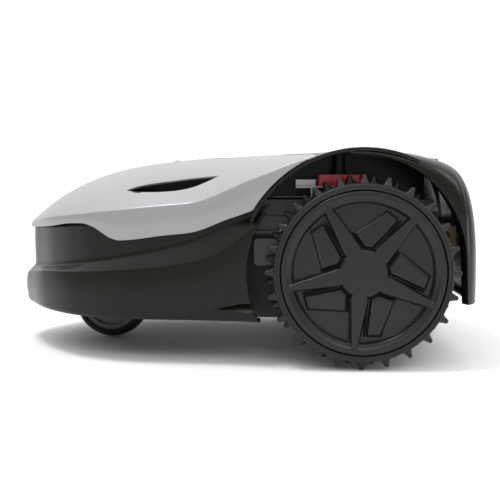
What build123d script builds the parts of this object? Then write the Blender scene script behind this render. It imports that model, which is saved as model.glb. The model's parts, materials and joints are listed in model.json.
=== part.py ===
from build123d import *
import os
from math import cos, radians, sin

# Robotic lawn mower. +X points forward, +Y to the mower's left, +Z up, in millimetres.
# The origin is on the ground, under the middle of the machine.

# ---------------------------------------------------------------- driving sizes
BODY_LENGTH = 582.0     # cover, nose to tail
BODY_WIDTH = 376.0      # cover, over the two wheel arches
WHEEL_R = 111.0         # drive axle to the tip of a tread lug
TYRE_W = 50.0           # drive tyre, side to side
WHEEL_PROUD = 12.0      # the wheel's face stands this far out of the arch
REAR_OVERHANG = 139.0   # tail to drive axle
FRONT_OVERHANG = 96.0   # nose to the caster's swivel axis
CASTER_R = 51.0
CASTER_W = 44.0
CASTER_TRAIL = 22.0
CLEARANCE = 52.0        # ground to the skirt's lower edge
WALL = 3.0              # moulded shells
DISC_R = 90.0           # cutting disc
BLADE_OUT = 18.0        # blade tip beyond the disc's rim
CUT_HIGH = 60.0         # blade height as stored, the highest setting
CUT_TRAVEL = 40.0       # the blades can be lowered this far
BUMP = 5.0              # the floating cover's travel each way along X
LIFT = 8.0              # the cover can be lifted this far off its dampers
DIAL_R = 34.0           # cutting height dial
STOP_R = 23.0           # stop button
STOP_TRAVEL = 4.0
KEY_TRAVEL = 1.0
SHAFT_R = 5.0           # drive axle shaft and dial spindle
RUN_GAP = 0.05          # radial clearance of every running fit

# ---------------------------------------------------------------- places that follow from them
NOSE_X = BODY_LENGTH / 2
TAIL_X = -BODY_LENGTH / 2
AXLE_X = TAIL_X + REAR_OVERHANG
AXLE_Z = WHEEL_R
ARCH_Y = BODY_WIDTH / 2
FACE_Y = ARCH_Y + WHEEL_PROUD
TYRE_OUT = FACE_Y - 1.0
TYRE_IN = TYRE_OUT - TYRE_W
ARCH_R = WHEEL_R + 19.0          # skirt's concave rear edge, about the drive axle
LIP_R = WHEEL_R + 30.0           # outside of the fender's rim
TOP_Z = AXLE_Z + LIP_R
ARCH_RIM_R = LIP_R - 5.0         # inside of the fender's rim
TAIL_BAND = 19.0                 # width of the glossy band between the arch and the tail
SWIVEL_X = NOSE_X - FRONT_OVERHANG
CASTER_X = SWIVEL_X - CASTER_TRAIL
BLADE_REACH = DISC_R + BLADE_OUT
DISC_X = CASTER_X - CASTER_R - 14.0 - BLADE_REACH
TRAY_HALF = TYRE_IN - 17.0
TRAY_REAR = TAIL_X + 41.0
TRAY_NOSE = NOSE_X - 48.0
TRAY_FLOOR = CLEARANCE - 2.0
TRAY_TOP = AXLE_Z + 39.0
DIAL_WELL_R = DIAL_R + BUMP + 3.0
STOP_RING_R = STOP_R + 7.0
DOME_R = BLADE_REACH + 6.0
DOME_TOP = CUT_HIGH + 22.0
WELL_R = CASTER_TRAIL + CASTER_R + 5.0
WELL_TOP = 2 * CASTER_R + 12.0
GASKET = 1.5
LID_Z = TRAY_TOP + GASKET
DECK_LID_TOP = TOP_Z - 60.0      # top of the inner lid behind the dial
NOSE_LID_TOP = TOP_Z - 80.0

# The cover's lines are drawn at this length, half width and height, and stretched to the sizes above.
DRAWN_NOSE, DRAWN_AXLE, DRAWN_TAIL = 291.0, -152.0, -291.0
DRAWN_HALF = 188.0
DRAWN_LOW, DRAWN_TOP = 52.0, 252.0


def fore(x):
    """A drawn station along X, stretched about the drive axle."""
    if x >= DRAWN_AXLE:
        return AXLE_X + (x - DRAWN_AXLE) * (NOSE_X - AXLE_X) / (DRAWN_NOSE - DRAWN_AXLE)
    return AXLE_X + (x - DRAWN_AXLE) * (TAIL_X - AXLE_X) / (DRAWN_TAIL - DRAWN_AXLE)


def wide(y):
    return y * ARCH_Y / DRAWN_HALF


def high(z):
    return CLEARANCE + (z - DRAWN_LOW) * (TOP_Z - CLEARANCE) / (DRAWN_TOP - DRAWN_LOW)


# Each line of the cover, as (station, value) pairs from nose to tail.
HOOD_HALF = [(283, 0), (276, 26), (262, 52), (229, 98), (176, 141), (118, 160), (40, 167), (0, 174), (-30, 184),
             (-62, 187.5), (-104, 188)]
SKIRT_HALF = [(291, 0), (285, 24), (270, 52), (237, 101), (182, 147), (120, 168), (40, 174), (-5, 178), (-45, 188)]
DECK_HALF = [(-12, 187), (-60, 188), (-152, 188), (-225, 187), (-262, 181), (-281, 168), (-289, 148), (-291, 110),
             (-291, 0)]
CROWN = [(291, 152), (281, 160), (267, 172), (248, 187), (222, 203), (185, 220), (139, 233), (93, 240),
         (36, 245.5), (-10, 248), (-59, 250), (-100, 251), (-152, 252), (-202, 248.5), (-236, 241.5), (-260, 233.5),
         (-291, 222)]
CROWN_DROP = [(291, 6), (262, 14), (229, 32), (176, 50.5), (118, 57.5), (51, 58.7), (34, 56.5), (-4, 44),
              (-36, 32), (-70, 18), (-100, 10), (-152, 2.5), (-202, 3), (-291, 3)]
CROWN_AT = [(291, 12), (262, 52), (229, 98), (176, 141), (118, 160), (40, 167), (-4, 178), (-30, 188), (-291, 188)]
TAIL_LINE = [(-236, 243), (-260, 231), (-271, 224), (-277, 216), (-283, 190), (-288, 153), (-293, 129),
             (-293, 106), (-290, 80), (-286, 73)]
HOOD_EDGE = [(300, 152), (229, 158), (192, 163.5), (176, 162.5), (160, 156.5), (147, 148), (136, 144.4),
             (126, 144.3), (80, 150), (39, 154.5), (28, 158), (-19, 176), (-60, 192)]
LEDGE_LOW = [(291, 89), (237, 102), (182, 106), (147, 109), (79, 114.5), (28, 124), (-45, 172)]
LEDGE_HIGH = [(291, 101), (225, 110), (175, 118), (83, 134), (45, 144), (-24, 173), (-45, 179)]
RECESS_TOP = [(291, 156), (160, 165), (120, 160), (28, 166), (-45, 184)]
RECESS_IN = [(291, 11), (237, 15), (182, 18), (40, 17), (-10, 12), (-45, 7)]


def at(line, x):
    """The value of a line at station x, straight between its points."""
    for (x0, v0), (x1, v1) in zip(line, line[1:]):
        if x0 >= x >= x1:
            return v0 + (v1 - v0) * (x0 - x) / (x0 - x1)
    return line[0][1] if x > line[0][0] else line[-1][1]


# ---------------------------------------------------------------- small helpers
def block(x0, x1, y0, y1, z0, z1):
    return Pos((x0 + x1) / 2, (y0 + y1) / 2, (z0 + z1) / 2) * Box(x1 - x0, y1 - y0, z1 - z0)


def post(radius, z0, z1, x=0.0, y=0.0):
    return Pos(x, y, (z0 + z1) / 2) * Cylinder(radius, z1 - z0)


def bar_y(radius, y0, y1, x=0.0, z=0.0):
    return Pos(x, (y0 + y1) / 2, z) * Rot(90, 0, 0) * Cylinder(radius, y1 - y0)


def side_cut(points, y0, y1):
    """A prism along Y over an outline drawn in X and Z."""
    return extrude(Pos(0, y0, 0) * (Plane.XZ * Polygon(*points, align=None)), amount=y1 - y0, dir=(0, 1, 0))


def plan_cut(points, z0, z1):
    """A prism along Z over an outline drawn in X and Y."""
    return extrude(Pos(0, 0, z0) * Polygon(*points, align=None), amount=z1 - z0, dir=(0, 0, 1))


def both_sides(shape):
    return [shape, mirror(shape, about=Plane.XZ)]


def group(shapes):
    return Compound(children=[s for shape in shapes for s in shape.solids()])


# ---------------------------------------------------------------- the floating cover
def plan_curve(line, inset=0.0):
    """A cover piece's plan line round the nose or the tail, moved inward by inset."""
    side = [Vector(fore(x), wide(y), 0) for x, y in line]
    other = [Vector(p.X, -p.Y, 0) for p in reversed(side)]
    points = other + side[1:] if line[0][1] == 0 else side + other[1:]
    curve = Spline(*points)
    if inset == 0:
        return curve
    moved = []
    for p in points:
        along = curve.tangent_at(curve.param_at_point(p), position_mode=PositionMode.PARAMETER)
        moved.append(p + Vector(0, 0, 1).cross(along).normalized() * inset)
    return Spline(*moved)


def plan_solid(line, inset=0.0):
    curve = plan_curve(line, inset)
    return extrude(make_face([curve, Line(curve @ 1, curve @ 0)]), amount=TOP_Z + 20, dir=(0, 0, 1))


def crown_section(x, sink):
    """The cover's cross-section at a station: an arc over the top, falling away to each side."""
    top = high(at(CROWN, x)) - sink
    reach = wide(at(CROWN_AT, x))
    margin = 1.12 * reach + 4.0
    fall = (high(at(CROWN, x)) - high(at(CROWN, x) - at(CROWN_DROP, x))) * (margin / reach) ** 2
    arc = ThreePointArc((-margin, top - fall), (0, top), (margin, top - fall))
    floor = CLEARANCE - 20.0
    rest = Polyline((margin, top - fall), (margin, floor), (-margin, floor), (-margin, top - fall))
    return Plane(origin=(fore(x), 0, 0), x_dir=(0, 1, 0), z_dir=(1, 0, 0)) * make_face([arc, rest])


def crown_solid(sink=0.0):
    """Everything under the cover's top surface, or under a surface sunk below it."""
    return loft([crown_section(x, sink) for x in STATIONS])


STATIONS = [290, 281, 267, 248, 222, 185, 139, 93, 36, -10, -36, -70, -100, -152, -202, -236, -260, -291]


def tail_profile(shift):
    """The side view behind the drive axle, down to the tail's lower lip."""
    line = [(fore(x) + shift, high(z)) for x, z in TAIL_LINE]
    low = high(DRAWN_LOW + 20)
    start = [(fore(20), low - 60), (fore(20), TOP_Z + 30), (fore(-200), TOP_Z + 30)]
    return side_cut(start + line + [(fore(-276) + shift, low), (fore(-276) + shift, low - 60)], -FACE_Y, FACE_Y)


def axle_bar(radius, y_from):
    return group(both_sides(bar_y(radius, y_from, FACE_Y + 20, AXLE_X, AXLE_Z)))


SEAM_Y = wide(128.0)
RIB_Y = wide(82.0)        # stiffening rib under the deck, inside each arch
SEAM_GAP = 0.8


def deck_zone(grow, forward):
    """The part of the cover that belongs to the rear deck: a tongue behind the hood, and the two wheel arches."""
    tongue = [(fore(-62) + grow + forward, wide(70)), (fore(-98) + grow + forward, SEAM_Y + 8)]
    tongue += [(fore(-98) + grow + forward, FACE_Y), (TAIL_X - 10, FACE_Y)]
    points = tongue + [(x, -y) for x, y in reversed(tongue)]
    zone = plan_cut(points, 0, TOP_Z + 40)
    for side in both_sides(bar_y(LIP_R + grow, SEAM_Y - max(grow, 0.0), FACE_Y + 5, AXLE_X, AXLE_Z)):
        zone = zone + side
    return zone


def slot_outline(grow):
    """The lens-shaped grip slot in the hood's flank, in X and Z."""
    front, back, low = (fore(127), high(203)), (fore(14), high(221.5)), (fore(62), high(200.5))
    mid = (fore(70), high(213.5))
    edge = [Spline((front[0] + grow, front[1]), (mid[0], mid[1] + grow), (back[0] - grow, back[1])),
            Spline((back[0] - grow, back[1]), (low[0] - 18, low[1] + 5 - grow), (low[0] + 22, low[1] - grow),
                   (front[0] + grow, front[1]))]
    return Plane.XZ * make_face(edge)


def slot_prism(grow, y0, y1):
    return extrude(Pos(0, y0, 0) * slot_outline(grow), amount=y1 - y0, dir=(0, 1, 0))


def build_hood():
    """Silver top shell, open below, with its S-shaped lower edge, the two grip slots and the dial's hole."""
    outer = plan_solid(HOOD_HALF) & crown_solid()
    inner = plan_solid(HOOD_HALF, WALL) & crown_solid(WALL)
    shell = outer - inner
    edge = [(fore(x), high(z)) for x, z in HOOD_EDGE]
    below = edge + [(edge[-1][0] - 80, edge[-1][1]), (edge[-1][0] - 80, 0), (edge[0][0], 0)]
    shell = shell - side_cut(below, -FACE_Y, FACE_Y)
    shell = shell - deck_zone(SEAM_GAP, 0.0)
    shell = shell - post(DIAL_WELL_R, TOP_Z - 60, TOP_Z + 20, DISC_X)
    for side in both_sides(slot_prism(0.0, wide(90), FACE_Y)) + both_sides(post(4.0, 0, TOP_Z, *RAIN_PIN)):
        shell = shell - side
    return max(shell.solids(), key=lambda s: s.volume)


def build_slot_liners():
    """Dark cups behind the grip slots, just inside the hood's flank."""
    room = plan_solid(HOOD_HALF, WALL + 0.1) & crown_solid(WALL + 0.1)
    cup = slot_prism(3.0, wide(92), FACE_Y) - slot_prism(1.2, wide(94), FACE_Y + 1)
    return group([side & room for side in both_sides(cup)])


def build_deck():
    """Black rear deck: the top behind the hood, the two wheel arches with their rims, and the tail."""
    outer = plan_solid(DECK_HALF) & crown_solid()
    outer = outer & tail_profile(0.0) & deck_zone(0.0, 0.0)
    inner = plan_solid(DECK_HALF, WALL)
    inner = inner & crown_solid(WALL) & tail_profile(WALL) & deck_zone(-WALL, 12.0)
    shell = outer - inner
    shell = shell - block(AXLE_X, fore(60), -FACE_Y, FACE_Y, 0, high(170))
    shell = shell - block(TAIL_X - 5, fore(60), -FACE_Y, FACE_Y, 0, high(72))
    arch = bar_y(ARCH_RIM_R, ARCH_Y - 60, FACE_Y + 5, AXLE_X, AXLE_Z)
    front_half = arch & block(AXLE_X, AXLE_X + 200, 0, FACE_Y + 10, 0, TOP_Z)
    rear = Plane(origin=(AXLE_X, ARCH_Y - 60, AXLE_Z), x_dir=(1, 0, 0), z_dir=(0, 1, 0)) * Ellipse(
        REAR_OVERHANG - TAIL_BAND, ARCH_RIM_R)
    for side in both_sides(extrude(rear, amount=80)) + both_sides(front_half):
        shell = shell - side
    shell = shell - block(BAY_BACK, BAY_FRONT, -BAY_HALF, BAY_HALF, TOP_Z - 40, TOP_Z + 10)
    shell = shell - post(STOP_RING_R, TOP_Z - 50, TOP_Z + 10, STOP_X)
    rib = block(fore(-250), fore(-64), RIB_Y, RIB_Y + WALL, DECK_LID_TOP + 3, TOP_Z)
    for side in both_sides(rib & inner):
        shell = shell + side
    return max(shell.solids(), key=lambda s: s.volume)


def skirt_sections():
    """Sections of the front skirt's wall, square to its plan line, from the right arch round the nose to the left."""
    curve = plan_curve(SKIRT_HALF)
    count = 28
    for i in range(count + 1):
        share = i / count
        spot, along = curve.position_at(share), curve.tangent_at(share)
        x = DRAWN_AXLE + (spot.X - AXLE_X) * (DRAWN_NOSE - DRAWN_AXLE) / (NOSE_X - AXLE_X)
        step, low = at(RECESS_IN, x), CLEARANCE
        lip = min(step - 0.5, 11.5)
        z1, z2, z3 = (high(at(line, x)) for line in (LEDGE_LOW, LEDGE_HIGH, RECESS_TOP))
        outline = [(0, low), (0, z1), (step, z2), (step, z3 - 2), (lip, z3 - 1), (lip, z3), (step + WALL, z3),
                   (step + WALL, z2 - 2), (WALL, z1 - 2), (WALL, low)]
        inward = Vector(0, 0, 1).cross(along).normalized()
        yield Plane(origin=spot, x_dir=inward, z_dir=inward.cross(Vector(0, 0, 1))) * Polygon(*outline, align=None)


def build_skirt():
    """Black front skirt and bumper: the lower wall, the bright ledge, and the recessed band under the hood."""
    skirt = loft(list(skirt_sections()), ruled=True)
    skirt = skirt - axle_bar(ARCH_R, 20)
    skirt = skirt - deck_zone(SEAM_GAP, 0.0)
    for y in (-CONTACT_Y, CONTACT_Y):
        skirt = skirt - block(NOSE_X - 30, NOSE_X + 5, y - 8, y + 8, *CONTACT_Z)
    return max(skirt.solids(), key=lambda s: s.volume)


CONTACT_Y = 14.0
CONTACT_X = NOSE_X - 19.0
CONTACT_Z = (high(116), high(142))


def build_charging_contacts():
    """Two brass strips let through the nose's recessed band, each with a flange behind it."""
    x = CONTACT_X
    z0, z1 = CONTACT_Z
    strip = block(x - 10, x, CONTACT_Y - 8, CONTACT_Y + 8, z0, z1)
    strip = strip - block(x - 3, x + 1, CONTACT_Y - 6, CONTACT_Y + 6, z0 + 2, z1 - 2)
    flange = block(x - 13, x - 10, CONTACT_Y - 11, CONTACT_Y + 11, z0 - 3, z1 + 3)
    return group(both_sides(strip + flange))


# Control bay in the rear deck.
BAY_FRONT = fore(-74)
BAY_BACK = fore(-182)
BAY_HALF = 62.0
BAY_FLOOR = TOP_Z - 28.0
HINGE_X = BAY_FRONT - 6.0
HINGE_Z = TOP_Z - 6.5
HINGE_R = 3.0
STOP_X = fore(-221)
STOP_TOP = high(at(CROWN, -221)) + 4.0
STOP_SEAT = STOP_TOP - 18.0      # underside of the collar
STOP_SPRING_Z = STOP_TOP - 22.0  # top of the stem's guide, which the spring stands on


def build_control_panel():
    """The control bay's tray under the deck, with holes for the four keys and a seat for the display."""
    tray = block(BAY_BACK - 4, BAY_FRONT + 4, -BAY_HALF - 4, BAY_HALF + 4, BAY_FLOOR - WALL, TOP_Z - 9)
    tray = tray - block(BAY_BACK - 1, BAY_FRONT + 1, -BAY_HALF - 1, BAY_HALF + 1, BAY_FLOOR, TOP_Z)
    under = crown_solid(WALL)
    tray = tray & under
    for spot in KEY_SPOTS:
        tray = tray - post(KEY_R + 0.4, BAY_FLOOR - 10, BAY_FLOOR + 1, *spot)
    x0, x1 = DISPLAY
    return tray - block(x0 - 0.3, x1 + 0.3, -32.3, 32.3, BAY_FLOOR - 2.0, BAY_FLOOR + 1)


KEY_R = 6.5
KEY_ROW = BAY_BACK + 28.0
KEY_SPOTS = [(KEY_ROW, y) for y in (39.0, 13.0, -13.0, -39.0)]
DISPLAY = (BAY_BACK + 50.0, BAY_BACK + 82.0)


def build_display():
    x0, x1 = DISPLAY
    return block(x0, x1, -32, 32, BAY_FLOOR - 2.0, BAY_FLOOR + 0.6)


def build_key(x, y):
    """A round key with a flange under the panel that stops it from coming out."""
    cap = post(KEY_R, BAY_FLOOR - WALL, BAY_FLOOR + 2.5, x, y)
    cap = chamfer(cap.edges().sort_by(Axis.Z)[-1], 0.8)
    return cap + post(KEY_R + 1.5, BAY_FLOOR - WALL - 1.5, BAY_FLOOR - WALL, x, y)


def build_control_lid():
    """The bay's hinged lid, crowned like the deck, with two hinge knuckles at its front edge."""
    inset = 1.0
    top = crown_solid() & block(BAY_BACK + inset, HINGE_X - 3.2, -BAY_HALF + inset, BAY_HALF - inset, 0, 400)
    lid = top - crown_solid(WALL)
    for y in (-30.0, 30.0):
        lid = lid + bar_y(HINGE_R, y - 12, y + 12, HINGE_X, HINGE_Z)
        lid = lid + block(HINGE_X - 8, HINGE_X, y - 12, y + 12, HINGE_Z, HINGE_Z + 2.5)
    lid = lid - bar_y(1.5 + RUN_GAP, -BAY_HALF, BAY_HALF, HINGE_X, HINGE_Z)
    lid = lid - block(BAY_BACK, BAY_BACK + 8, -14, 14, TOP_Z - 20, TOP_Z - 3)
    return max(lid.solids(), key=lambda s: s.volume)


def build_lid_hinge():
    """The hinge pin and the three ears that carry it, fixed to the front wall of the bay."""
    pin = bar_y(1.5, -BAY_HALF + 4, BAY_HALF - 4, HINGE_X, HINGE_Z)
    for y in (-50.0, 0.0, 50.0):
        pin = pin + bar_y(HINGE_R, y - 7, y + 7, HINGE_X, HINGE_Z)
        pin = pin + block(HINGE_X, BAY_FRONT + 1, y - 7, y + 7, HINGE_Z - 3, HINGE_Z - 0.5)
    return pin


def build_dial_well():
    """The cup in the hood's top that the height dial sits in."""
    outer = post(DIAL_WELL_R, TOP_Z - 42, TOP_Z + 10, DISC_X)
    cup = outer - post(DIAL_WELL_R - 2, TOP_Z - 39.5, TOP_Z + 20, DISC_X)
    cup = cup - post(14.0, TOP_Z - 60, TOP_Z, DISC_X)
    return cup & crown_solid()


RAIN_PIN = (fore(80), 11.0)


def build_rain_sensor():
    """Two steel sensing pins let into the hood's top, ahead of the dial."""
    pin = post(4.0, TOP_Z - 20, TOP_Z, *RAIN_PIN) & crown_solid(-0.8)
    return group(both_sides(pin))


def build_stop_button():
    cap = post(STOP_R, STOP_TOP - 14, STOP_TOP, STOP_X)
    cap = fillet(cap.edges().sort_by(Axis.Z)[-1], 5.0)
    return cap + post(7.0, STOP_TOP - 34, STOP_TOP - 14, STOP_X)


def build_stop_housing():
    """The collar let into the deck round the stop button, and the switch cup that the stem works in."""
    collar = post(STOP_RING_R, STOP_SEAT, TOP_Z + 10, STOP_X) & crown_solid(-1.2)
    collar = collar + post(STOP_R + 3.0, STOP_SPRING_Z - 22.0, STOP_SEAT, STOP_X)
    collar = collar - post(STOP_R + 0.5, STOP_SPRING_Z - 19.0, TOP_Z + 20, STOP_X)
    guide = post(12.0, STOP_SPRING_Z - 22.0, STOP_SPRING_Z, STOP_X)
    return collar + (guide - post(7.0 + 0.4, STOP_SPRING_Z - 19.0, TOP_Z, STOP_X))


def spring(radius, wire, z0, z1, pitch, x, y):
    """A coil spring standing on z0, its wire inside z0 to z1."""
    path = Helix(pitch=pitch, height=z1 - z0 - 2 * wire, radius=radius)
    start = Plane(origin=path @ 0, z_dir=path % 0)
    coil = sweep(start * Circle(wire), path=path)
    return Pos(x, y, z0 + wire) * coil


def build_stop_spring():
    return spring(9.6, 0.9, STOP_SPRING_Z, STOP_TOP - 14.0, 3.2, STOP_X, 0.0)


# ---------------------------------------------------------------- chassis
def tray_points(inset):
    """The chassis tray's plan, narrowing ahead of the cutting disc like the nose."""
    half = TRAY_HALF - inset
    front = fore(120) - inset
    side = [(TRAY_REAR + inset, half), (front, half), (fore(190) - inset, wide(98) - inset),
            (TRAY_NOSE - inset, wide(34) - inset)]
    return side + [(x, -y) for x, y in reversed(side)]


def build_tray():
    """The lower chassis tub, with the blade dome, the caster well, board posts and openings for the axles."""
    tray = plan_cut(tray_points(0.0), TRAY_FLOOR, TRAY_TOP)
    room = plan_cut(tray_points(WALL), TRAY_FLOOR + WALL, TRAY_TOP + 1)
    room = room - post(DOME_R + WALL, 0, DOME_TOP + WALL, DISC_X)
    room = room - post(WELL_R + WALL, 0, WELL_TOP + WALL, SWIVEL_X)
    tray = tray - room
    tray = tray - post(DOME_R, 0, DOME_TOP, DISC_X)
    tray = tray - post(WELL_R, 0, WELL_TOP, SWIVEL_X)
    tray = tray - post(CUP_R + 2.0, 0, DOME_TOP + 20, DISC_X)
    tray = tray + post(CASTER_STEM_R + 6, WELL_TOP + WALL, WELL_TOP + 20, SWIVEL_X)
    tray = tray - post(CASTER_STEM_R + RUN_GAP, 0, WELL_TOP + 21, SWIVEL_X)
    for x, y in BOARD_POSTS:
        tray = tray + post(5.0, TRAY_FLOOR + WALL, BOARD_Z, x, y)
    return tray - bar_y(GEAR_NOSE_R, -TRAY_HALF - 5, TRAY_HALF + 5, AXLE_X, AXLE_Z)


CUP_R = 32.0
CASTER_STEM_R = 7.0
BOARD_Z = TRAY_TOP + 8.0
BOARD_HALF = 92.0
BOARD_X = (TRAY_REAR + 12.0, AXLE_X + 48.0)
BOARD_POSTS = [(x, y) for x in (BOARD_X[0] + 8, BOARD_X[1] - 8) for y in (-BOARD_HALF + 7, BOARD_HALF - 7)]
GEAR_NOSE_R = 16.0


def build_gasket():
    return plan_cut(tray_points(0.0), TRAY_TOP, LID_Z) - plan_cut(tray_points(WALL + 1.0), TRAY_TOP - 1, LID_Z + 1)


def build_inner_lid():
    """The sealed lid over the electronics, low in the nose and high behind it, with the spindle's hole."""
    half = TRAY_HALF - 12.0
    back, front = TRAY_REAR + 6.0, fore(50)
    lid = plan_cut(tray_points(0.0), LID_Z, LID_Z + WALL) + plan_cut(tray_points(8.0), LID_Z, NOSE_LID_TOP)
    lid = lid + block(back, front, -half, half, LID_Z, DECK_LID_TOP)
    lid = lid - plan_cut(tray_points(8.0 + WALL), LID_Z - 1, NOSE_LID_TOP - WALL)
    lid = lid - block(back + WALL, front - WALL, -half + WALL, half - WALL, LID_Z - 1, DECK_LID_TOP - WALL)
    lid = lid + post(SHAFT_R + 7, DECK_LID_TOP - WALL - 6, DECK_LID_TOP + 4, DISC_X)
    lid = lid - post(SHAFT_R + RUN_GAP, TRAY_TOP, TOP_Z, DISC_X)
    for x, y in LID_SCREWS:
        lid = lid - post(2.0, TRAY_TOP, TOP_Z, x, y)
    return lid


LID_SCREWS = [(x, y) for x in (TRAY_REAR + 20.0, fore(-60), fore(60)) for y in (-TRAY_HALF + 4, TRAY_HALF - 4)]


def build_lid_screws():
    """Cross-head screws round the inner lid's flange."""
    screws = []
    for x, y in LID_SCREWS:
        screw = post(1.95, LID_Z, LID_Z + WALL, x, y) + post(3.6, LID_Z + WALL, LID_Z + WALL + 2.4, x, y)
        screws.append(screw - block(x - 2.4, x + 2.4, y - 0.4, y + 0.4, LID_Z + WALL + 1.2, LID_Z + 9))
    return group(screws)


def build_battery():
    """A shrink-wrapped pack of ten round cells behind the axle."""
    x = TRAY_REAR + WALL + 4.0
    pack = block(x, x + 46.0, -58, 58, TRAY_FLOOR + WALL, TRAY_FLOOR + WALL + 76)
    return fillet(pack.edges().filter_by(Axis.Y), 10.0)


def build_board():
    """The main board with its processor, connectors, coil and heat sink."""
    x0, x1 = BOARD_X
    board = block(x0, x1, -BOARD_HALF, BOARD_HALF, BOARD_Z, BOARD_Z + 1.6)
    top = BOARD_Z + 1.6
    board = board + block(x0 + 45, x0 + 63, -9, 9, top, top + 2)
    board = board + block(x0 + 90, x0 + 118, -40, -12, top, top + 9)
    board = board + block(x0 + 20, x0 + 32, 40, 76, top, top + 10)
    board = board + block(x1 - 40, x1 - 28, -76, -40, top, top + 10)
    for y in (18.0, 30.0, 42.0):
        board = board + post(4.0, top, top + 12, x1 - 30, y)
    return board


def gearmotor():
    """A left drive motor, its gearbox and the bored nose that passes through the tray's wall."""
    body = bar_y(18.0, 12, 68, 0, 0) + bar_y(22.0, 68, TRAY_HALF - WALL - 0.5, 0, 0)
    body = body + bar_y(GEAR_NOSE_R, TRAY_HALF - WALL - 0.5, TRAY_HALF + 6, 0, 0)
    return body - bar_y(SHAFT_R + RUN_GAP, TRAY_HALF - 20, TRAY_HALF + 10, 0, 0)


def build_cutter_motor():
    motor = post(CUP_R - WALL - 0.4, DISC_Z + 15.5, DISC_Z + 50, DISC_X)
    return motor - post(3.0 + RUN_GAP, DISC_Z, DISC_Z + 40, DISC_X)


DISC_Z = CUT_HIGH + 1.5
NUT_TOP = TOP_Z - 74.0
SPINDLE_LOW = DISC_Z + 60.0
ROD_Y = 50.0
ROD_R = 4.0


def build_motor_carriage():
    """The cup that holds the cutter motor, its nut for the height spindle, and two guide ears."""
    low, roof = DISC_Z + 12.0, DISC_Z + 50.0
    cup = post(CUP_R, low, roof + WALL, DISC_X) - post(CUP_R - WALL, low + WALL, roof, DISC_X)
    cup = cup - post(9.0, 0, low + 10, DISC_X)
    ears = DOME_TOP + WALL + CUT_TRAVEL + 13.0
    ear = block(DISC_X - 8, DISC_X + 8, -ROD_Y, ROD_Y, ears - 10, ears)
    ear = ear + post(8.0, ears - 10, ears + 6, DISC_X, ROD_Y) + post(8.0, ears - 10, ears + 6, DISC_X, -ROD_Y)
    cup = cup + (post(SHAFT_R + 4, roof, NUT_TOP, DISC_X) + ear)
    cup = cup - post(SHAFT_R + RUN_GAP, roof + WALL, NUT_TOP + 1, DISC_X)
    for y in (-ROD_Y, ROD_Y):
        cup = cup - post(ROD_R + RUN_GAP, 0, TOP_Z, DISC_X, y)
    return cup


def build_guide_rods():
    rod = post(ROD_R, DOME_TOP + WALL, DECK_LID_TOP - WALL, DISC_X, ROD_Y)
    return group(both_sides(rod))


def build_dial():
    """The cutting height dial: a ribbed knob with a grip bar, on a spindle that turns in the carriage's nut."""
    top = TOP_Z - 8.0
    knob = post(DIAL_R, top - 16, top, DISC_X)
    knob = knob - (post(DIAL_R - 5, top - 8, top + 1, DISC_X)
                   - block(DISC_X - DIAL_R, DISC_X + DIAL_R, -6, 6, top - 9, top + 2))
    for i in range(24):
        turn = radians(15 * i)
        knob = knob - post(1.6, top - 17, top + 1, DISC_X + DIAL_R * cos(turn), DIAL_R * sin(turn))
    return knob + post(SHAFT_R, SPINDLE_LOW, top - 16, DISC_X)


def build_disc_hub():
    """The cutter motor's shaft and the flanged hub that drives the disc."""
    hub = post(18.0, DISC_Z + 2.5, DISC_Z + 6.5, DISC_X) + post(8.0, DISC_Z + 6.5, DISC_Z + 15.2, DISC_X)
    return hub + post(3.0, DISC_Z + 15.2, DISC_Z + 38, DISC_X)


def build_disc():
    """The cutting disc: a steel plate with three clearance holes and three blade pivots."""
    disc = post(DISC_R, DISC_Z, DISC_Z + 2.5, DISC_X)
    for i in range(3):
        turn = radians(120 * i + 60)
        hole = Plane(origin=(DISC_X, 0, DISC_Z - 1)) * Rot(0, 0, 120 * i + 60) * Pos(52, 0, 0) * Ellipse(15, 20)
        disc = disc - extrude(hole, amount=6)
        spot = (DISC_X + BLADE_PIVOT_R * cos(radians(120 * i)), BLADE_PIVOT_R * sin(radians(120 * i)))
        disc = disc - post(PIVOT_R, DISC_Z - 1, DISC_Z + 5, *spot)
        bolt = (DISC_X + 13 * cos(turn), 13 * sin(turn))
        disc = disc - post(2.0, DISC_Z - 1, DISC_Z + 5, *bolt)
    return disc


BLADE_PIVOT_R = DISC_R - 10.0
PIVOT_R = 2.8
BLADE_T = 0.8
BLADE_W = 18.0


def build_blade(turn):
    """A double-edged pivoting blade, hung under the disc's rim on a shoulder screw."""
    length = BLADE_REACH - BLADE_PIVOT_R
    plate = Pos((length - 7) / 2, 0, 0) * Rectangle(length + 7, BLADE_W)
    blade = extrude(plate, amount=BLADE_T)
    blade = blade - post(PIVOT_R + RUN_GAP, -1, 2)
    blade = Pos(BLADE_PIVOT_R, 0, DISC_Z - 0.3 - BLADE_T) * blade
    return Pos(DISC_X, 0, 0) * (Rot(0, 0, turn) * blade)


def build_blade_screws():
    """Three shoulder screws that carry the blades, and three that hold the disc to its hub."""
    screws = []
    for i in range(3):
        x, y = DISC_X + BLADE_PIVOT_R * cos(radians(120 * i)), BLADE_PIVOT_R * sin(radians(120 * i))
        low = DISC_Z - 0.6 - BLADE_T
        screw = post(PIVOT_R, low, DISC_Z + 2.5, x, y) + post(5.0, low - 2.6, low, x, y)
        screw = screw - (block(x - 3.4, x + 3.4, y - 0.5, y + 0.5, low - 3, low - 1.4))
        screws.append(screw + post(4.2, DISC_Z + 2.5, DISC_Z + 5.5, x, y))
        turn = radians(120 * i + 60)
        x, y = DISC_X + 13 * cos(turn), 13 * sin(turn)
        screws.append(post(1.95, DISC_Z, DISC_Z + 2.5, x, y) + post(3.5, DISC_Z - 2.2, DISC_Z, x, y))
    return group(screws)


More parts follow.
